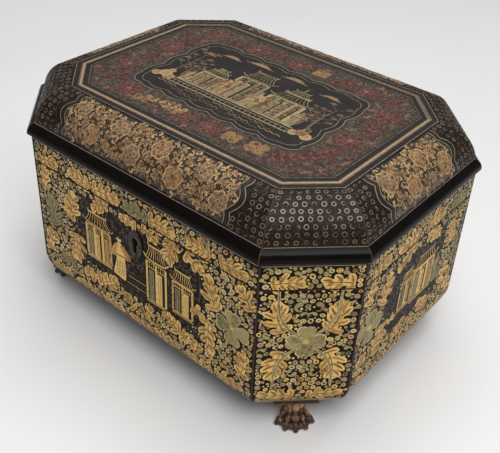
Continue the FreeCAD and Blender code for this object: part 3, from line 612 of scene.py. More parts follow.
def edge_beads(g, half):
    """A column of beads down both edges of a wall."""
    bottom, top = EDGE_END, WALL_HEIGHT - EDGE_END
    count = int((top - bottom) / (2 * BEAD + BEAD_GAP))
    for k in range(count):
        v = bottom + (k + 0.5) * (top - bottom) / count
        for sign in (1, -1):
            u = sign * (half - EDGE_MARGIN - BEAD)
            if g.free(u, v, BEAD):
                bead(g, u, v, BEAD * rng.uniform(0.9, 1.05), ("antique", "copper", "pale"))


def finish_wall(g, half, tries):
    """Beads on a wall's edges and in the room that is left, then its mesh."""
    edge_beads(g, half)
    fill_beads(g, half, WALL_HEIGHT, tries)
    g.build("base", "wall_lacquer")


# Curls of a corner's right half: place, heading, length and bend
CANTED_CURLS = (
    (3.6, 81.5, 30, 10, -230), (4.2, 73.5, 100, 7, 170), (20.5, 58, 330, 8, 200), (23, 47, 80, 7, -190),
    (4.5, 30, 250, 8, 210), (25, 84, 250, 6, -160),
)

# Leaves that cross the seam: share of the side's length, heading, length, width, bend and a tone if not gold
SEAM_LEVEL = 4.0
CANTED_SEAM = (
    (-0.22, 12, 19, 15, -20), (0.25, 168, 18, 14, 20),
)
LONG_SEAM = (
    (-0.42, 20, 20, 15, -24), (-0.27, 160, 21, 16, 24), (-0.13, 15, 25, 16, -20),
    (0.0, 170, 21, 15, 20, "olive"), (0.12, 12, 23, 16, -24), (0.27, 165, 19, 15, 24),
    (0.41, 10, 21, 16, -20),
)
SHORT_SEAM = (
    (-0.36, 20, 20, 15, -24), (-0.13, 165, 24, 16, 24), (0.13, 10, 23, 16, -20),
    (0.36, 170, 20, 15, 20, "olive"),
)


def seam_leaves(g, side, level):
    """The leaves that cross the seam, with the seam's height on this face."""
    table = CANTED_SEAM if side.canted else LONG_SEAM if side.length == LONG_SIDE else SHORT_SEAM
    for share, *shape in table:
        leaf(g, share * side.length, level + SEAM_LEVEL, *shape)


def wall_gilding(side):
    """An empty pattern for a wall, with its seam leaves."""
    half = side.length / 2
    place = surface(side, wall_section)
    g = Gilding(f"{side.name}_wall_gilding", place, (-half, 0), (half, WALL_HEIGHT), WALL_COLUMN)
    seam_leaves(g, side, LID_BOTTOM - WALL_BOTTOM)
    # A gilt line and a wider pale band at the foot of the wall; the wide band also paints the pale
    # reflection of the floor on the turned-under base.
    for v, width, tone in ((1.5, 1.5, "antique"), (3.4, 0.4, "line")):
        g.bar(0, v, half - 1, width, tone, 4)
    return g


def canted_wall(side):
    """A corner: a clover in the middle, stems to the corners with a lobed leaf on each."""
    half = side.length / 2
    g = wall_gilding(side)
    middle = FLOWER_LEVEL
    quatrefoil(g, 0, middle, 11.5)
    for sx in (1, -1):
        for sy, reach in ((1, WALL_HEIGHT - middle), (-1, middle - 18)):
            stem = smooth(((sx * 4, middle + sy * 4), (sx * 11.5, middle + sy * 11.5),
                           (sx * 16.2, middle + sy * 22), (sx * 17.2, middle + sy * reach)))
            for width, layer, tone in ((2.0, 3, "pale"), (1.25, 4, "olive")):
                shaped(g, stem, ((0, 0.2, 0.8, 1), (0.6, 1, 0.9, 0.7)), width, tone, layer)
            leaf(g, sx * 15, middle + sy * 19.5, 90 * sy - sx * sy * 30, 25, 17, sx * sy * 38)
        leaf(g, sx * 15, 9.5, 90 - sx * 76, 23, 14, -sx * 20)
        for u, v, heading, size, bend in CANTED_CURLS:
            turned = heading if sx > 0 else 180 - heading
            curl(g, sx * u, v, turned, size, sx * bend, "olive")
    finish_wall(g, half, CORNER_TRIES)


# Leaves of a long and a short wall: place, heading, length, width, bend and a tone if not gold
LONG_LEAVES = (
    (-61, 73, 60, 25, 18, 30), (-79, 59, 110, 25, 19, -30, "olive"), (-60, 39, 280, 24, 18, -40),
    (-27, 29, 20, 20, 13, 30), (-44, 25, 200, 18, 13, -30), (32, 28, 160, 22, 15, -30),
    (63, 72, 120, 26, 17, -34), (62, 35, 260, 27, 15, 34), (-86, 82, 70, 17, 14, 20),
    (-32, 84, 200, 19, 13, 30), (-7, 86, 170, 15, 10, 20), (30, 82, 240, 20, 16, 30),
    (12, 86, 350, 14, 11, -20), (49, 85, 330, 17, 12, 20), (-86, 33, 60, 18, 14, 30),
    (86, 82, 120, 17, 13, 20), (86, 31, 70, 18, 14, 30), (9, 24, 50, 14, 10, 30),
    (-8, 23, 140, 14, 10, -30), (48, 22, 340, 16, 11, 20), (-70, 22, 190, 17, 12, 20, "olive"),
    (-78, 9, 15, 24, 14, -20), (-52, 8, 170, 24, 13, 14), (-26, 9, 10, 24, 13, -14),
    (0, 8, 170, 23, 13, 14), (25, 9, 10, 24, 13, -14), (51, 8, 170, 24, 13, 14),
    (77, 9, 12, 24, 14, -20),
)
SHORT_LEAVES = (
    (-35, 75, 60, 23, 16, 30), (-35, 34, 280, 24, 16, -40), (-10, 27, 20, 19, 13, 30),
    (20, 29, 160, 19, 13, -30), (43, 40, 60, 18, 14, 30), (-15, 85, 200, 21, 13, 20),
    (17, 85, 340, 20, 13, -20), (44, 74, 120, 21, 15, -30), (-52, 82, 70, 16, 12, 20),
    (-52, 27, 80, 16, 13, -20), (53, 24, 100, 17, 13, 20), (5, 22, 60, 13, 9, 20),
    (54, 57, 90, 16, 12, 20, "olive"), (-48, 9, 15, 22, 13, -20), (-24, 8, 170, 23, 13, 14),
    (0, 9, 10, 23, 13, -14), (24, 8, 170, 23, 13, 14), (48, 9, 12, 22, 13, -20),
)


def long_scene(g):
    """Three halls by a flight of steps, with a figure, trees, rocks and water, on the black reserve."""
    pavilion(g, -35, 42, 22, 36, "gold", 3)
    figure(g, -15.5, 38, 35, "gold")
    pavilion(g, 17, 36, 16, 44, "gold", 2)
    pavilion(g, 39, 40, 16, 33, "gold", 2)
    tree(g, 52, 58, 22, "umber")
    tree(g, -54, 46, 26, "umber", -10)
    rock(g, 51, 46, 7, "gold")
    for k in range(5):
        g.bar(0.5, 47 - 3 * k, 7.5 + k, 0.5, "gold" if k % 2 else "umber")
    for x, y in ((-38, 37), (-12, 33), (16, 32), (44, 37)):
        ripples(g, x, y, 17, "umber")


def short_scene(g):
    """A hall and a smaller one beside it, with a figure, a tree, rocks and water."""
    pavilion(g, 12, 43, 24, 33, "gold", 3)
    pavilion(g, -9, 45, 13, 28, "gold", 2)
    figure(g, 30, 41, 25, "olive", -1)
    tree(g, -22, 46, 30, "umber")
    rock(g, -21, 40, 5, "gold")
    for x, y in ((-14, 38), (10, 37), (28, 37)):
        ripples(g, x, y, 15, "umber")


def reserve(half):
    """The wavy outline of the black reserve."""
    angles = np.linspace(0, 2 * math.pi, 48, endpoint=False)
    wave = 1 + 0.05 * np.sin(7 * angles) + 0.03 * np.sin(11 * angles + 1)
    power = 0.55
    u = half * np.sign(np.cos(angles)) * np.abs(np.cos(angles)) ** power * wave
    rise = np.sign(np.sin(angles)) * np.abs(np.sin(angles)) ** power * wave
    return np.stack((u, (RESERVE_LOW + RESERVE_HIGH) / 2 + (RESERVE_HIGH - RESERVE_LOW) / 2 * rise), 1)


def undergrowth(g, half):
    """Fine brown grasses in what is left of a black reserve."""
    low, high = RESERVE_LOW - RESERVE_EDGE, RESERVE_HIGH + RESERVE_EDGE
    for u, v in free_places(g, half, low, high, 1.3, GRASS_TRIES):
        heading = rng.uniform(0, 360)
        for turn in (-36, 0, 36):
            g.brush(arc((u, v), heading + turn, 2.6, turn, 4), 0.26, rng.choice(("copper", "umber")))


def straight_wall(side, leaves, scene, half_reserve, flower_u):
    """A long or short wall: a scene in a black reserve among leaves, flowers and beads."""
    g = wall_gilding(side)
    if side.name == "front":
        key = (corner("escutcheon", 0, 2) + corner("escutcheon", 1, 2)) / 2 - WALL_BOTTOM
        tall = corner("escutcheon", 1, 2) - WALL_BOTTOM - key + 1.0
        wide = corner("escutcheon", 1, 0) + 1.0
        angles = np.linspace(0, 2 * math.pi, 24, endpoint=False)
        g.mark(np.stack((wide * np.cos(angles), key + tall * np.sin(angles)), 1))
    scene(g)
    for shape in leaves:
        leaf(g, *shape)
    quatrefoil(g, flower_u, FLOWER_LEVEL, 12.5)
    undergrowth(g, half_reserve)
    g.mark(reserve(half_reserve - RESERVE_EDGE))
    finish_wall(g, side.length / 2, int(side.length * WALL_TRIES))


def lid_band(side):
    """The shallow wall of the lid: leaves cut by the seam, curls and beads."""
    half = side.length / 2
    g = Gilding(f"{side.name}_band_gilding", surface(side, band_section), (-half, 0), (half, BAND_HEIGHT))
    g.bar(0, BAND_HEIGHT - LINE_LEVEL, half - 1, LINE, "line")
    seam_leaves(g, side, 0)
    for k in range(int(side.length / CURL_PITCH)):
        u = -half + (k + 0.6) * CURL_PITCH
        for v, heading in ((BAND_HEIGHT * 0.72, 40), (BAND_HEIGHT * 0.4, 130)):
            if g.free(u, v, 2.2):
                curl(g, u - 2, v - 1, heading, 8, -220 if k % 2 else 220, "olive")
    fill_beads(g, half, BAND_HEIGHT - 1.2, int(side.length * BAND_TRIES))
    g.build("lid", "wall_lacquer")


# Slopes of the lid

FIRST_ROW = 3.2
ROW_PITCH = 4.1
RING_PITCH = 4.7
RING = 1.5
RING_LINE = 0.52
PANEL_FOOT = 2.4
PANEL_HEAD = 2.0
PANEL_END = 23.0
PANEL_GAP = 3.8
CUSP = 0.27
SLOPE_COLUMN = 2.2
# Tries for each millimetre of a side
SCRATCH_TRIES = 14


def panel_half(half, v):
    """Half the length of a slope's panel at a height: a round lobe between two low shoulders."""
    share = np.asarray(v) / DOME_ARC
    lobe = 5.0 * np.sin(math.pi * (share - CUSP) / (1 - 2 * CUSP))
    shoulder = 1.6 * np.abs(np.sin(math.pi * np.minimum(share, 1 - share) / CUSP))
    return half - 3 + np.where(np.abs(share - 0.5) < 0.5 - CUSP, lobe, shoulder)


def thicket(g, half, low, high):
    """Crowded flowers, leaves and curls between two heights, the largest first."""
    count = round(2 * half / 18)
    for k in range(count):
        u = (k - (count - 1) / 2) * (2 * half - 8) / count
        v = (low + high) / 2 + (5.6 if k % 2 == 0 else -5.8)
        peony(g, u, v, 7.2 * rng.uniform(0.9, 1.05), rng.choice(("orange", "copper")), 20 * k)

    def tone(v):
        bright = rng.random() < 0.3 + (v - low) / (high - low)
        return "antique" if bright else rng.choice(("orange", "copper"))

    for reach, tries in ((3.0, 14), (1.4, 60), (0.8, 30)):
        for u, v in free_places(g, half, low, high, reach, int(tries * half)):
            heading = rng.uniform(0, 360)
            if reach > 2:
                leaf(g, u, v, heading, 8.0, 6.4, 30, "antique")
            elif reach > 1:
                curl(g, u, v, heading, 5.6, rng.choice((250, -250)), tone(v))
            else:
                shaped(g, arc((u, v), heading, 2.2, 80, 4), PETAL, 1.0, tone(v))


def slope_panel(g, half):
    """A bracketed panel with a double line, a hatched ground and crowded flowers."""
    low, high = PANEL_FOOT, DOME_ARC - PANEL_HEAD
    rows = np.linspace(low, high, 37)
    ends = panel_half(half, rows)
    inner = ends - PANEL_GAP

    def edge(reach):
        return np.stack((reach, rows), 1)

    g.ribbon(edge(-inner), edge(inner), "hatch", -0.5, fill=False)
    g.taken[:] = True
    room = Gilding("room", g.place, g.low, g.high)
    room.mark(np.vstack((edge(-inner + 0.6), edge(inner - 0.6)[::-1])))
    g.taken &= ~room.taken
    thicket(g, half, low + 1, high - 1)
    for sign in (1, -1):
        g.brush(edge(sign * (ends - PANEL_GAP / 2)), PANEL_GAP, "black", 2)
        for limit in (ends, inner):
            g.brush(edge(sign * limit), 0.45, "line", 3)
    g.taken[:] = False
    g.mark(np.vstack((edge(ends), edge(-ends)[::-1])))


def worn_ring(g, u, v, radius, tone):
    """A small ring, whole or with part of it rubbed away."""
    if rng.random() < 0.6:
        g.ring(u, v, radius, RING_LINE, tone)
        return
    angles = np.radians(rng.uniform(0, 360) + np.linspace(0, rng.uniform(160, 310), 10))
    widths = RING_LINE * np.sin(np.linspace(0.4, math.pi - 0.4, 10))
    g.brush(np.array((u, v)) + spokes(angles) * (radius - RING_LINE / 2), widths, tone)


def lid_slope(side):
    """A slope: rows of small rings, with a flowered panel on the straight sides."""
    foot = side.length / 2 - DOME_INSET * MITRE
    place = surface(side, dome_section, False)
    g = Gilding(f"{side.name}_slope_gilding", place, (-foot, 0), (foot, DOME_ARC), SLOPE_COLUMN)
    if not side.canted:
        slope_panel(g, side.length / 2 - PANEL_END)
    g.bar(0, LINE_LEVEL, slope_half(side, LINE_LEVEL) - 0.5, LINE, "line")
    for v in np.arange(FIRST_ROW, DOME_ARC - 2, ROW_PITCH):
        half = slope_half(side, v) - EDGE_MARGIN - 0.6
        count = int(2 * half / RING_PITCH)
        for k in range(count + 1):
            u = -half + 2 * half * k / count + rng.uniform(-0.25, 0.25)
            if g.free(u, v, RING):
                tone = "shell" if rng.random() < 0.35 + 0.5 * v / DOME_ARC else "copper"
                worn_ring(g, u, v + rng.uniform(-0.2, 0.2), RING * rng.uniform(0.86, 1.06), tone)
                if rng.random() < 0.25:
                    g.dot(u, v, RING * 0.5, "umber", 2)
    for _ in range(int(side.length * SCRATCH_TRIES)):
        v = rng.uniform(1.5, DOME_ARC - 1.5)
        half = slope_half(side, v) - 1.5
        u = rng.uniform(-half, half)
        if g.free(u, v, 0.5):
            g.brush(arc((u, v), rng.uniform(0, 360), 1.8, 240, 5), 0.25, "umber")
    g.build("lid", "slope_lacquer")


# Top of the lid

FIELD_INSET = 37.0
STRIPE_INSET = 31.5
STRIPE = 1.3
# Border lines: inset and width
BORDER_LINES = ((26.5, 0.42), (30.3, 0.4), (32.5, 0.3), (36.4, 0.42))
CARTOUCHE = (68.0, 41.5)
CARTOUCHE_ROUND = 9.0
SCALLOP = 2.6


def octagon(inset):
    """The plan's outline drawn in by an inset, anticlockwise."""
    x, y = HALF_WIDTH - inset, HALF_DEPTH - inset
    cut = inset * MITRE
    run_x, run_y = LONG_SIDE / 2 - cut, SHORT_SIDE / 2 - cut
    quarter = np.array(((x, run_y), (run_x, y)))
    mirrored = quarter[::-1]
    return np.vstack((quarter, mirrored * (-1, 1), -quarter, mirrored * (1, -1)))


def cartouche(grow=0.0):
    """The cartouche grown by a distance: scalloped sides and rounded corners, anticlockwise."""
    half = np.array(CARTOUCHE) + grow
    corners = half * ((1, -1), (1, 1), (-1, 1), (-1, -1))
    points = []
    for start, end, count in zip(corners, np.roll(corners, -1, 0), (3, 6, 3, 6)):
        ahead = (end - start) / np.linalg.norm(end - start)
        out = np.array((ahead[1], -ahead[0]))
        start, end = start + ahead * CARTOUCHE_ROUND, end - ahead * CARTOUCHE_ROUND
        for share in np.arange(8 * count) / (8 * count):
            bulge = SCALLOP * (abs(math.sin(math.pi * count * share)) - 0.4)
            points.append(start + (end - start) * share + out * bulge)
        centre = end - out * CARTOUCHE_ROUND
        first = math.atan2(out[1], out[0])
        for k in range(6):
            angle = first + math.pi / 2 * k / 6
            points.append(centre + CARTOUCHE_ROUND * toward(angle))
    return np.array(points)


def top_scene(g):
    """A terrace with three halls, figures, trees, rocks, clouds and water."""
    base = -20.0
    for level, thick in ((base, 0.9), (base - 2.4, 0.5), (base - 6, 0.9)):
        g.bar(0, level, 50, thick, "straw")
    for k in range(-12, 13):
        g.post(k * 4, base - 5.6, base - 2.6, 0.4, "straw")
    pavilion(g, -30, base + 2.5, 19, 25, "straw", 3)
    pavilion(g, -5, base + 2.5, 22, 44, "straw", 3)
    pavilion(g, 27, base + 2.5, 26, 34, "straw", 4)
    roof(g, 27, 16, 10, 6, "straw")
    roof(g, -30, 6, 7, 5, "straw")
    g.post(27, 22, 28, 0.9, "straw")
    for x, height, tone in ((-17, 25, "antique"), (9, 26, "straw"), (15, 21, "antique"), (44, 23, "straw"),
                            (-43, 18, "antique")):
        figure(g, x, base + 0.5, height, tone, 1 if x > 0 else -1)
    for x, size in ((-56, 10), (57, 9)):
        rock(g, x, base - 6, size, "antique")
    for x, height, lean in ((-56, 34, 8), (56, 32, -8), (48, 24, 10), (-47, 22, -10)):
        tree(g, x, base + 5, height, "copper", lean)
    for x, y, length in ((-40, 28, 18), (-18, 32, 24), (12, 31, 22), (44, 27, 18), (-55, 22, 12)):
        cloud(g, x, y, length, "antique" if abs(x) > 15 else "straw")
    for k, y in enumerate((-28.6, -30.6, -32.6, -34.6)):
        for x in range(-46 + 8 * k, 50, 24):
            ripples(g, x, y, 17, "copper" if k % 2 else "antique")


def fruit(g, x, y, size):
    """Four rounded fruits, each with a rim and a fine ring."""
    for turn in range(4):
        u, v = (x, y) + toward(math.radians(90 * turn + 45)) * (size, size * 0.8)
        g.dot(u, v, size * 0.78, "orange")
        for share, width in ((0.78, 0.4), (0.4, 0.3)):
            g.ring(u, v, size * share, width, "antique", 3)


def blossom(g, x, y, radius, turn):
    """A red flower of round petals, each with its outline, round a small heart."""
    for count, share, size, layer in ((8, 0.68, 0.31, 1), (5, 0.3, 0.26, 3)):
        for k in range(count):
            u, v = (x, y) + radius * share * toward(math.radians(turn + 360 * k / count))
            g.dot(u, v, radius * size, "red", layer)
            g.ring(u, v, radius * size, 0.42, "rust", layer + 1)
    g.dot(x, y, radius * 0.16, "shell", 5)


SPRIG_TRIES = 1400
# Curls between the motifs of the top's field: free room, length and tries
FIELD_CURLS = ((0.9, 3.4, 12000), (0.5, 2.2, 14000))
# Motifs of the top's field: place, kind, size and heading
FIELD_MOTIFS = (
    (-72, 50, "blossom", 8, 0), (-54, 53, "leaf", 17, 20), (-36, 52, "blossom", 8.5, 10),
    (-18, 54, "leaf", 16, 170), (0, 53, "blossom", 8, 20), (19, 53, "fruit", 4, 0),
    (37, 53, "leaf", 17, 10), (55, 52, "blossom", 8.5, 30), (72, 49, "leaf", 16, 140),
    (83, 32, "blossom", 8.5, 0), (84, 12, "leaf", 17, 80), (83, -8, "blossom", 9, 15),
    (80, -28, "leaf", 22, 50), (68, -45, "leaf", 24, 30), (49, -52, "fruit", 4.4, 0),
    (31, -53, "fruit", 4, 0), (14, -53, "blossom", 7.5, 0), (-3, -53, "blossom", 7, 15),
    (-20, -52, "gilt", 20, 160), (-39, -53, "gilt", 17, 10), (-56, -52, "blossom", 8.5, 0),
    (-73, -45, "leaf", 17, 120), (-83, -27, "blossom", 8.5, 0), (-84, -7, "leaf", 17, 90),
    (-83, 13, "blossom", 9, 20), (-83, 33, "leaf", 16, 60),
)


def top_field(g):
    """Red flowers, gilt fruit and leaves between the cartouche and the border lines."""
    limits = octagon(FIELD_INSET + 1)
    x_half, y_half = limits[:, 0].max(), limits[:, 1].max()
    for u, v, kind, size, heading in FIELD_MOTIFS:
        if kind == "blossom":
            blossom(g, u, v, size, heading)
        elif kind == "fruit":
            fruit(g, u, v, size)
        else:
            leaf(g, u, v, heading, size, size * 0.62, 36, "red" if kind == "leaf" else "antique")
    for u, v in free_places(g, x_half, -y_half, y_half, 2.4, SPRIG_TRIES):
        heading = rng.uniform(0, 360)
        tone = rng.choice(("red", "red", "rust", "copper"))
        for turn in (-50, 0, 50):
            shaped(g, arc((u, v), heading + turn, 3.6, turn * 0.6, 5), PETAL, 1.7, tone)
    for reach, length, tries in FIELD_CURLS:
        for u, v in free_places(g, x_half, -y_half, y_half, reach, tries):
            curve = arc((u, v), rng.uniform(0, 360), length, rng.choice((240, -240)), 5)
            g.brush(curve, 0.42, rng.choice(("copper", "copper", "umber", "shell")))


def lid_top():
    """The flat top: border lines by a gilt stripe, dull along the back, a flowered field and a scene."""
    x, y = HALF_WIDTH - PANEL_INSET, HALF_DEPTH - PANEL_INSET
    g = Gilding("top_gilding", top_surface, (-x, -y), (x, y))
    room = Gilding("room", top_surface, (-x, -y), (x, y))
    room.mark(octagon(FIELD_INSET + 1.0))
    g.taken = ~room.taken
    g.ribbon(octagon(FIELD_INSET + 0.6), octagon(PANEL_INSET + 0.3), "black", -0.5, closed=True, fill=False)
    for inset, width in BORDER_LINES:
        g.loop(octagon(inset), width, "line")
    outer, inner = octagon(STRIPE_INSET - STRIPE / 2), octagon(STRIPE_INSET + STRIPE / 2)
    for run, tone in (((3, 4, 5, 6, 7, 0), "stripe"), ((0, 1, 2, 3), "copper")):
        g.ribbon(inner[list(run)], outer[list(run)], tone, fill=False)
    outline = cartouche()
    levels = np.linspace(outline[:, 1].min() + 0.05, outline[:, 1].max() - 0.05, 60)
    ground = []
    for half in (outline[outline[:, 0] < 0], outline[outline[:, 0] > 0]):
        half = half[np.argsort(half[:, 1])]
        ground.append(np.stack((np.interp(levels, half[:, 1], half[:, 0]), levels), 1))
    g.ribbon(*ground, "black", -0.5)
    for line in (outline, cartouche(-3.6)):
        g.loop(line, 0.45, "line", 2)
    top_scene(g)
    g.mark(cartouche(2))
    top_field(g)
    g.build("lid", "top_lacquer")


# Materials

MATERIALS = {}
COAT_ROUGHNESS = 0.2
WORN_EDGE = 0.0011
WORN_BROWN = (0.08, 0.045, 0.028, 1)


class Finish:
    """A node material in the making, with short ways to add nodes and join them."""

    def __init__(self, name):
        material = bpy.data.materials.new(name)
        material.use_nodes = True
        self.tree = material.node_tree
        self.shader = self.tree.nodes["Principled BSDF"]
        MATERIALS[name] = material

    def feed(self, node, inputs):
        """Set a node's inputs to values, or link them to other outputs."""
        for key, value in inputs.items():
            if isinstance(value, bpy.types.NodeSocket):
                self.tree.links.new(value, node.inputs[key])
            else:
                node.inputs[key].default_value = value

    def add(self, kind, output, inputs=None, **settings):
        """Add a node and give one of its outputs."""
        node = self.tree.nodes.new("ShaderNode" + kind)
        for key, value in settings.items():
            setattr(node, key, value)
        self.feed(node, inputs or {})
        return node.outputs[output]

    def dress(self, inputs):
        """Set or link the shader's own inputs."""
        self.feed(self.shader, inputs)

    def where(self):
        """Places in the object's own space."""
        return self.add("TexCoord", "Object")

    def noise(self, scale, detail, rough=0.6, output="Fac"):
        """Noise in the object's own space."""
        inputs = {"Vector": self.where(), "Scale": scale, "Detail": detail, "Roughness": rough}
        return self.add("TexNoise", output, inputs)

    def cells(self, vector, scale):
        """Distances to the edges of random cells."""
        inputs = {"Vector": vector, "Scale": scale}
        return self.add("TexVoronoi", "Distance", inputs, feature="DISTANCE_TO_EDGE")

    def combine(self, operation, *values):
        """Numbers joined by an operation."""
        return self.add("Math", 0, dict(enumerate(values)), operation=operation)

    def spread(self, value, low, high, to_low, to_high):
        """A number carried from one range to another."""
        inputs = {"Value": value, "From Min": low, "From Max": high, "To Min": to_low, "To Max": to_high}
        return self.add("MapRange", "Result", inputs)

    def ramp(self, value, *stops):
        """A colour ramp with stops of place and colour or grey."""
        node = self.tree.nodes.new("ShaderNodeValToRGB")
        band = node.color_ramp
        while len(band.elements) < len(stops):
            band.elements.new(0.5)
        for element, (place, colour) in zip(band.elements, stops):
            element.position = place
            element.color = (*np.broadcast_to(colour, 3), 1)
        self.feed(node, {"Fac": value})
        return node.outputs["Color"]

    def bump(self, height, strength, distance):
        """Let a height turn the shader's normal."""
        inputs = {"Height": height, "Strength": strength, "Distance": distance}
        self.dress({"Normal": self.add("Bump", "Normal", inputs)})

    def rubbed(self, patches, tint):
        """A colour rubbed through to brown in patches along the edges."""
        plain = self.add("NewGeometry", "Normal")
        rounded = self.add("Bevel", "Normal", {"Radius": WORN_EDGE}, samples=4)
        turned = self.add("VectorMath", "Value", {0: plain, 1: rounded}, operation="DOT_PRODUCT")
        edge = self.combine("MULTIPLY_ADD", patches, 0.4, turned)
        inputs = {"Factor": self.spread(edge, 1.04, 1.12, 1.0, 0.0), "A": tint, "B": WORN_BROWN}
        return self.add("Mix", "Result", inputs, data_type="RGBA")


def lacquer(name, dark, light, gloss, sheen, rubbed=True):
    """Old lacquer: mottled colour, uneven gloss and fine crackle."""
    finish = Finish(name)
    cloudy, fine = finish.noise(60, 8), finish.noise(900, 4)
    colour = finish.ramp(cloudy, (0.3, dark), (0.72, light))
    if rubbed:
        colour = finish.rubbed(cloudy, colour)
    cracks = finish.ramp(finish.cells(finish.where(), 160), (0.0, 0.0), (0.03, 1.0))
    finish.bump(finish.combine("ADD", cracks, fine), 0.12, 0.0002)
    uneven = finish.ramp(fine, (0.3, gloss), (0.75, gloss + 0.2))
    finish.dress({"Base Color": colour, "Roughness": uneven, "Specular IOR Level": sheen})


def gilt(name, bright, worn, metal, rough, varnish=0.0):
    """Powdered gold on lacquer: each stroke a little different, rubbed and darkened in places."""
    finish = Finish(name)
    island = finish.add("NewGeometry", "Random Per Island")
    shade = finish.combine("MULTIPLY_ADD", island, 0.28, finish.noise(420, 8, 0.72))
    scuffed, light = np.array(worn) * 0.25, np.minimum(1, np.array(bright) * 1.25)
    colour = finish.ramp(shade, (0.38, scuffed), (0.48, worn), (0.64, bright), (0.86, light))
    finish.bump(finish.noise(2600, 3), 0.25, 0.0001)
    finish.dress({"Base Color": colour, "Metallic": metal, "Roughness": rough, "Specular IOR Level": 0.25,
                  "Coat Weight": varnish, "Coat Roughness": COAT_ROUGHNESS})


def hatch(name):
    """Fine slanting gold lines on black, the ground of the flowered panels."""
    finish = Finish(name)
    inputs = {"Vector": finish.where(), "Scale": 300, "Distortion": 0.3}
    wave = finish.add("TexWave", "Fac", inputs, bands_direction="DIAGONAL")
    colour = finish.ramp(wave, (0.5, (0.008, 0.0055, 0.004)), (0.85, (0.08, 0.06, 0.042)))
    finish.dress({"Base Color": colour, "Roughness": 0.42, "Specular IOR Level": 0.1,
                  "Coat Weight": 0.55, "Coat Roughness": COAT_ROUGHNESS})


def field_lacquer(name):
    """Brown-black lacquer with a fine meander of brown lines."""
    finish = Finish(name)
    inputs = {"Factor": 0.02, "A": finish.where(), "B": finish.noise(300, 3, output="Color")}
    warped = finish.add("Mix", "Result", inputs, data_type="VECTOR")
    lines = finish.cells(warped, 620)
    colour = finish.ramp(lines, (0.04, (0.055, 0.033, 0.021)), (0.16, (0.017, 0.011, 0.008)))
    haze = finish.noise(700, 4)
    finish.bump(haze, 0.1, 0.0002)
    uneven = finish.ramp(haze, (0.3, 0.34), (0.7, 0.52))
    finish.dress({"Base Color": colour, "Roughness": uneven, "Specular IOR Level": 0.4,
                  "Coat Weight": 0.4, "Coat Roughness": 0.25})


def carved_wood(name):
    """Brown lacquered carving with worn gilding that thins towards the ground; the top of its cap is painted
    dark as the shadow of the box's base.
    """
    finish = Finish(name)
    pointed = finish.add("NewGeometry", "Pointiness")
    level = finish.add("SeparateXYZ", "Z", {0: finish.where()})
    fillet_top = (WALL_BOTTOM - CAP_THICKNESS + CAP_FILLET) * MM
    gilding = finish.spread(level, 0.004, 0.018, 0.0, 0.09)
    # Painted shadow: everything above the cap's fillet is darkened as if in the shadow of the box's base.
    cap_shadow = finish.spread(level, fillet_top - 0.0001, fillet_top + 0.0001, 0.0, -0.6)
    shade = finish.combine("MULTIPLY_ADD", finish.noise(260, 6), 0.3, pointed)
    shade = finish.combine("ADD", finish.combine("ADD", shade, gilding), cap_shadow)
    colour = finish.ramp(shade, (0.56, (0.008, 0.005, 0.004)), (0.66, (0.05, 0.024, 0.014)),
                         (0.71, (0.13, 0.065, 0.03)), (0.76, (0.4, 0.23, 0.085)))
    finish.bump(finish.noise(1500, 4), 0.3, 0.0002)
    finish.dress({"Base Color": colour, "Roughness": 0.38, "Specular IOR Level": 0.35})


def metal(name, bright, dull, rough):
    """Aged metal: tarnish in patches and fine scratches."""
    finish = Finish(name)
    patches = finish.noise(320, 8, 0.65)
    colour = finish.ramp(patches, (0.35, dull), (0.65, bright))
    uneven = finish.ramp(patches, (0.3, rough + 0.2), (0.7, rough))
    finish.bump(finish.noise(3000, 3), 0.15, 0.0001)
    finish.dress({"Base Color": colour, "Roughness": uneven, "Metallic": 1.0})


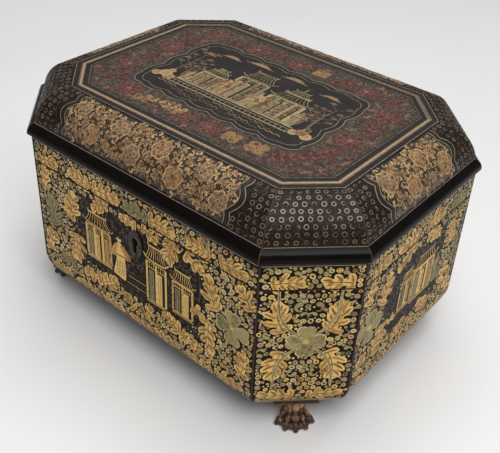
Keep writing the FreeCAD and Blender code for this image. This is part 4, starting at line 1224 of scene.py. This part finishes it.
def make_materials():
    """Every finish of the box."""
    lacquer("wall_lacquer", (0.006, 0.004, 0.003), (0.017, 0.012, 0.008), 0.4, 0.06)
    lacquer("slope_lacquer", (0.006, 0.004, 0.003), (0.018, 0.012, 0.009), 0.36, 0.13)
    lacquer("rim_lacquer", (0.003, 0.002, 0.002), (0.006, 0.004, 0.003), 0.08, 0.08)
    lacquer("bottom_lacquer", (0.03, 0.018, 0.014), (0.06, 0.036, 0.026), 0.5, 0.4)
    field_lacquer("top_lacquer")
    lacquer("black", (0.006, 0.004, 0.003), (0.014, 0.009, 0.007), 0.36, 0.4, False)
    gilt("gold", (0.66, 0.43, 0.135), (0.36, 0.2, 0.05), 0.4, 0.42)
    gilt("amber", (0.46, 0.25, 0.065), (0.26, 0.13, 0.03), 0.4, 0.42)
    gilt("pale", (0.58, 0.44, 0.215), (0.3, 0.21, 0.09), 0.35, 0.46)
    gilt("olive", (0.3, 0.25, 0.105), (0.18, 0.145, 0.06), 0.3, 0.48)
    gilt("moss", (0.22, 0.175, 0.075), (0.12, 0.095, 0.04), 0.3, 0.48)
    gilt("antique", (0.42, 0.27, 0.13), (0.17, 0.092, 0.038), 0.35, 0.46, 0.55)
    gilt("orange", (0.24, 0.12, 0.05), (0.1, 0.045, 0.02), 0.35, 0.48, 0.35)
    gilt("copper", (0.18, 0.115, 0.07), (0.08, 0.05, 0.03), 0.35, 0.46, 0.35)
    gilt("straw", (0.36, 0.28, 0.15), (0.18, 0.13, 0.065), 0.35, 0.46)
    gilt("shell", (0.19, 0.145, 0.105), (0.09, 0.063, 0.045), 0.3, 0.46, 0.35)
    gilt("line", (0.34, 0.28, 0.19), (0.18, 0.14, 0.09), 0.35, 0.45, 0.35)
    gilt("stripe", (0.43, 0.275, 0.145), (0.19, 0.11, 0.06), 0.4, 0.42, 0.4)
    gilt("umber", (0.05, 0.03, 0.016), (0.024, 0.015, 0.009), 0.2, 0.5)
    gilt("red", (0.085, 0.026, 0.019), (0.04, 0.015, 0.011), 0.1, 0.5, 0.4)
    gilt("rust", (0.225, 0.092, 0.06), (0.1, 0.04, 0.026), 0.2, 0.5, 0.4)
    hatch("hatch")
    carved_wood("carved_foot")
    metal("brass", (0.62, 0.44, 0.19), (0.32, 0.2, 0.08), 0.3)
    metal("dark_brass", (0.09, 0.075, 0.055), (0.03, 0.025, 0.02), 0.4)
    metal("spring_steel", (0.38, 0.38, 0.4), (0.16, 0.15, 0.16), 0.35)


def dress_frame():
    """Give every node of the frame the finish of its slot."""
    for part in frame["record"]["subparts"]:
        slots = frame["nodes"][part["node"]].data.materials
        slots.clear()
        slots.append(MATERIALS[part["material_slot"]])


# Feet

FOOT_SETBACK = 12.0
CAP_WIDTH = 28.0
CAP_LENGTH = 18.0
CAP_THICKNESS = 3.7
CAP_FILLET = 0.6
FOOT_VOXEL = 0.42


def blob(shape, place, radii, turn):
    """Add an ellipsoid to a mesh."""
    matrix = Matrix.Translation(place) @ turn @ Matrix.Diagonal((*radii, 1))
    bmesh.ops.create_icosphere(shape, subdivisions=3, radius=1, matrix=matrix)


# Radii of the leg at levels, then the forms of a toe: reach, level and three radii
LEG_RINGS = (
    (0.0, 8.4), (2.5, 8.4), (5.0, 7.6), (8.0, 6.8), (12.0, 6.1), (16.5, 5.9), (19.6, 6.6),
)
TOE_FORMS = (
    (5.9, 9.5, (1.2, 1.5, 3.6)), (8.1, 5.5, (1.8, 2.5, 3.5)), (10.4, 2.8, (2.5, 2.7, 2.6)),
    (12.4, 1.5, (1.7, 1.8, 1.6)),
)
# Webs between the toes, a boss and gilt leaves round the ankle: swing, reach, level and three radii
WEB = (9.6, 2.2, (2.7, 2.9, 2.3))
ANKLE_FORMS = (
    (-46, *WEB), (-15, *WEB), (15, *WEB), (46, *WEB), (0, 8.3, 7.8, (2.8, 2.4, 2.9)),
    (-72, 5.5, 16.4, (1.4, 1.3, 2.8)), (-36, 5.8, 15.6, (1.6, 1.4, 3.2)), (0, 6.2, 15.0, (2.2, 1.7, 3.9)),
    (36, 5.8, 15.6, (1.6, 1.4, 3.2)), (72, 5.5, 16.4, (1.4, 1.3, 2.8)),
)
TOE_SWINGS = (-62, -31, 0, 31, 62)


def paw_shape():
    """The carved paw as overlapping forms, in the frame of its side: -Y is outward."""
    shape = bmesh.new()
    middle = Vector((0, FOOT_SETBACK, 0))
    for (low, low_radius), (high, high_radius) in zip(LEG_RINGS, LEG_RINGS[1:]):
        matrix = Matrix.Translation(middle + Vector((0, 0, (low + high) / 2)))
        bmesh.ops.create_cone(shape, cap_ends=True, segments=40, radius1=low_radius, radius2=high_radius,
                              depth=high - low + 0.02, matrix=matrix)
    forms = [(swing, *form) for swing in TOE_SWINGS for form in TOE_FORMS]
    for swing, reach, level, radii in forms + list(ANKLE_FORMS):
        turn = Matrix.Rotation(math.radians(swing), 4, "Z")
        blob(shape, middle + turn @ Vector((0, -reach, level)), radii, turn)
    return shape


def carved_mesh():
    """The paw's forms run together and smoothed, cut flat on the ground, under its cap."""
    shape = paw_shape()
    draft = bpy.data.meshes.new("paw_draft")
    shape.to_mesh(draft)
    shape.free()
    holder = add_object("paw_draft", draft)
    remesh = holder.modifiers.new("remesh", "REMESH")
    remesh.mode = "VOXEL"
    remesh.voxel_size = FOOT_VOXEL
    relax = holder.modifiers.new("smooth", "SMOOTH")
    relax.iterations = 3
    relax.factor = 0.5
    graph = bpy.context.evaluated_depsgraph_get()
    mesh = bpy.data.meshes.new_from_object(holder.evaluated_get(graph))
    bpy.data.objects.remove(holder)
    shape = bmesh.new()
    shape.from_mesh(mesh)
    everything = list(shape.verts) + list(shape.edges) + list(shape.faces)
    bmesh.ops.bisect_plane(shape, geom=everything, plane_co=(0, 0, 0), plane_no=(0, 0, -1), clear_outer=True)
    rim = [edge for edge in shape.edges if edge.is_boundary]
    bmesh.ops.holes_fill(shape, edges=rim)
    for face in shape.faces:
        face.smooth = True
    for inset, low, high in ((0.6, CAP_FILLET - 0.1, CAP_THICKNESS), (0.0, 0.0, CAP_FILLET)):
        slab = bmesh.ops.create_cube(shape, size=1)["verts"]
        for vert in slab:
            vert.co.x *= CAP_WIDTH - 2 * inset
            vert.co.y = BASE_ROUND_INSET + inset + (vert.co.y + 0.5) * (CAP_LENGTH - 2 * inset)
            vert.co.z = WALL_BOTTOM - CAP_THICKNESS + low + (vert.co.z + 0.5) * (high - low)
        edges = list({edge for vert in slab for edge in vert.link_edges})
        bmesh.ops.bevel(shape, geom=edges, offset=0.3, segments=2, affect="EDGES")
    shape.to_mesh(mesh)
    shape.free()
    mesh.materials.clear()
    mesh.materials.append(MATERIALS["carved_foot"])
    return mesh


def carved_feet():
    """The four feet, each in place of its plain node."""
    mesh = carved_mesh()
    for side in SIDES:
        if not side.canted:
            continue
        piece = add_object(f"{side.name}_carved_foot", mesh.copy())
        turn = Matrix.Rotation(side.turn, 4, "Z")
        piece.data.transform(Matrix.Scale(MM, 4) @ Matrix.Translation(Vector(side.middle)) @ turn)
        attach(piece, "base")
        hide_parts(f"{side.name}_foot")


# Stage

IMAGE_WIDTH = 500.0
IMAGE_HEIGHT = 453.0
FOCAL_PIXELS = 786.7
OPTICAL_CENTRE = (258.2, 186.9)
SENSOR = 36.0
AZIMUTH = math.radians(37.88)
ELEVATION = math.radians(33.72)
ROLL = math.radians(3.34)
AIM_LEVEL = 76.0
DISTANCE = 551.1
SLIDE = (9.45, 9.18)
FLOOR_REACH = 6.0
LAMPS = (("key", (0.72, -0.5, 1.45), 1.0, 17.2), ("overhead", (-0.1, 0.4, 1.8), 1.3, 18.0))
LAMP_AIM = Vector((0, 0, 0.08))
SURROUND = (0.95, 0.97, 1.0, 1)
SURROUND_STRENGTH = 0.25


def make_camera():
    """A camera at the photograph's viewpoint."""
    back = Vector((math.sin(AZIMUTH) * math.cos(ELEVATION), -math.cos(AZIMUTH) * math.cos(ELEVATION),
                   math.sin(ELEVATION)))
    level = Vector((math.cos(AZIMUTH), math.sin(AZIMUTH), 0))
    upright = back.cross(level)
    right = level * math.cos(ROLL) + upright * math.sin(ROLL)
    up = upright * math.cos(ROLL) - level * math.sin(ROLL)
    place = Vector((0, 0, AIM_LEVEL)) + back * DISTANCE + right * SLIDE[0] + up * SLIDE[1]
    data = bpy.data.cameras.new("camera")
    data.sensor_width = SENSOR
    data.lens = FOCAL_PIXELS / IMAGE_WIDTH * SENSOR
    data.shift_x = (IMAGE_WIDTH / 2 - OPTICAL_CENTRE[0]) / IMAGE_WIDTH
    data.shift_y = (OPTICAL_CENTRE[1] - IMAGE_HEIGHT / 2) / IMAGE_WIDTH
    data.clip_start = 0.01
    camera = add_object("camera", data)
    matrix = Matrix((right, up, back)).transposed().to_4x4()
    matrix.translation = place * MM
    camera.matrix_world = matrix
    bpy.context.scene.camera = camera


def make_floor():
    """A large pale floor with the faintest unevenness."""
    finish = Finish("floor")
    colour = finish.ramp(finish.noise(3, 3), (0.3, (0.765, 0.755, 0.75)), (0.7, (0.805, 0.8, 0.795)))
    finish.dress({"Base Color": colour, "Roughness": 0.6})
    mesh = bpy.data.meshes.new("floor")
    corners = [(x * FLOOR_REACH, y * FLOOR_REACH, 0) for x, y in ((-1, -1), (1, -1), (1, 1), (-1, 1))]
    mesh.from_pydata(corners, [], [(0, 1, 2, 3)])
    mesh.materials.append(MATERIALS["floor"])
    floor = add_object("floor", mesh)


def make_stage():
    """Floor, soft square lamps and an even pale surround, with metres and watts."""
    make_floor()
    for name, place, size, power in LAMPS:
        data = bpy.data.lights.new(name, "AREA")
        data.size = size
        data.energy = power
        lamp = add_object(name, data)
        lamp.location = place
        lamp.rotation_euler = (LAMP_AIM - Vector(place)).to_track_quat("-Z", "Y").to_euler()
    world = bpy.data.worlds.new("surround")
    world.use_nodes = True
    background = world.node_tree.nodes["Background"]
    background.inputs["Color"].default_value = SURROUND
    background.inputs["Strength"].default_value = SURROUND_STRENGTH
    bpy.context.scene.world = world
    bpy.context.scene.view_settings.view_transform = "Standard"


rng = random.Random(20)
make_materials()
dress_frame()
for side in SIDES:
    if side.canted:
        canted_wall(side)
    elif side.length == LONG_SIDE:
        straight_wall(side, LONG_LEAVES, long_scene, 56, 78)
    else:
        straight_wall(side, SHORT_LEAVES, short_scene, 33, -48)
    lid_band(side)
    lid_slope(side)
lid_top()
carved_feet()
make_camera()
make_stage()
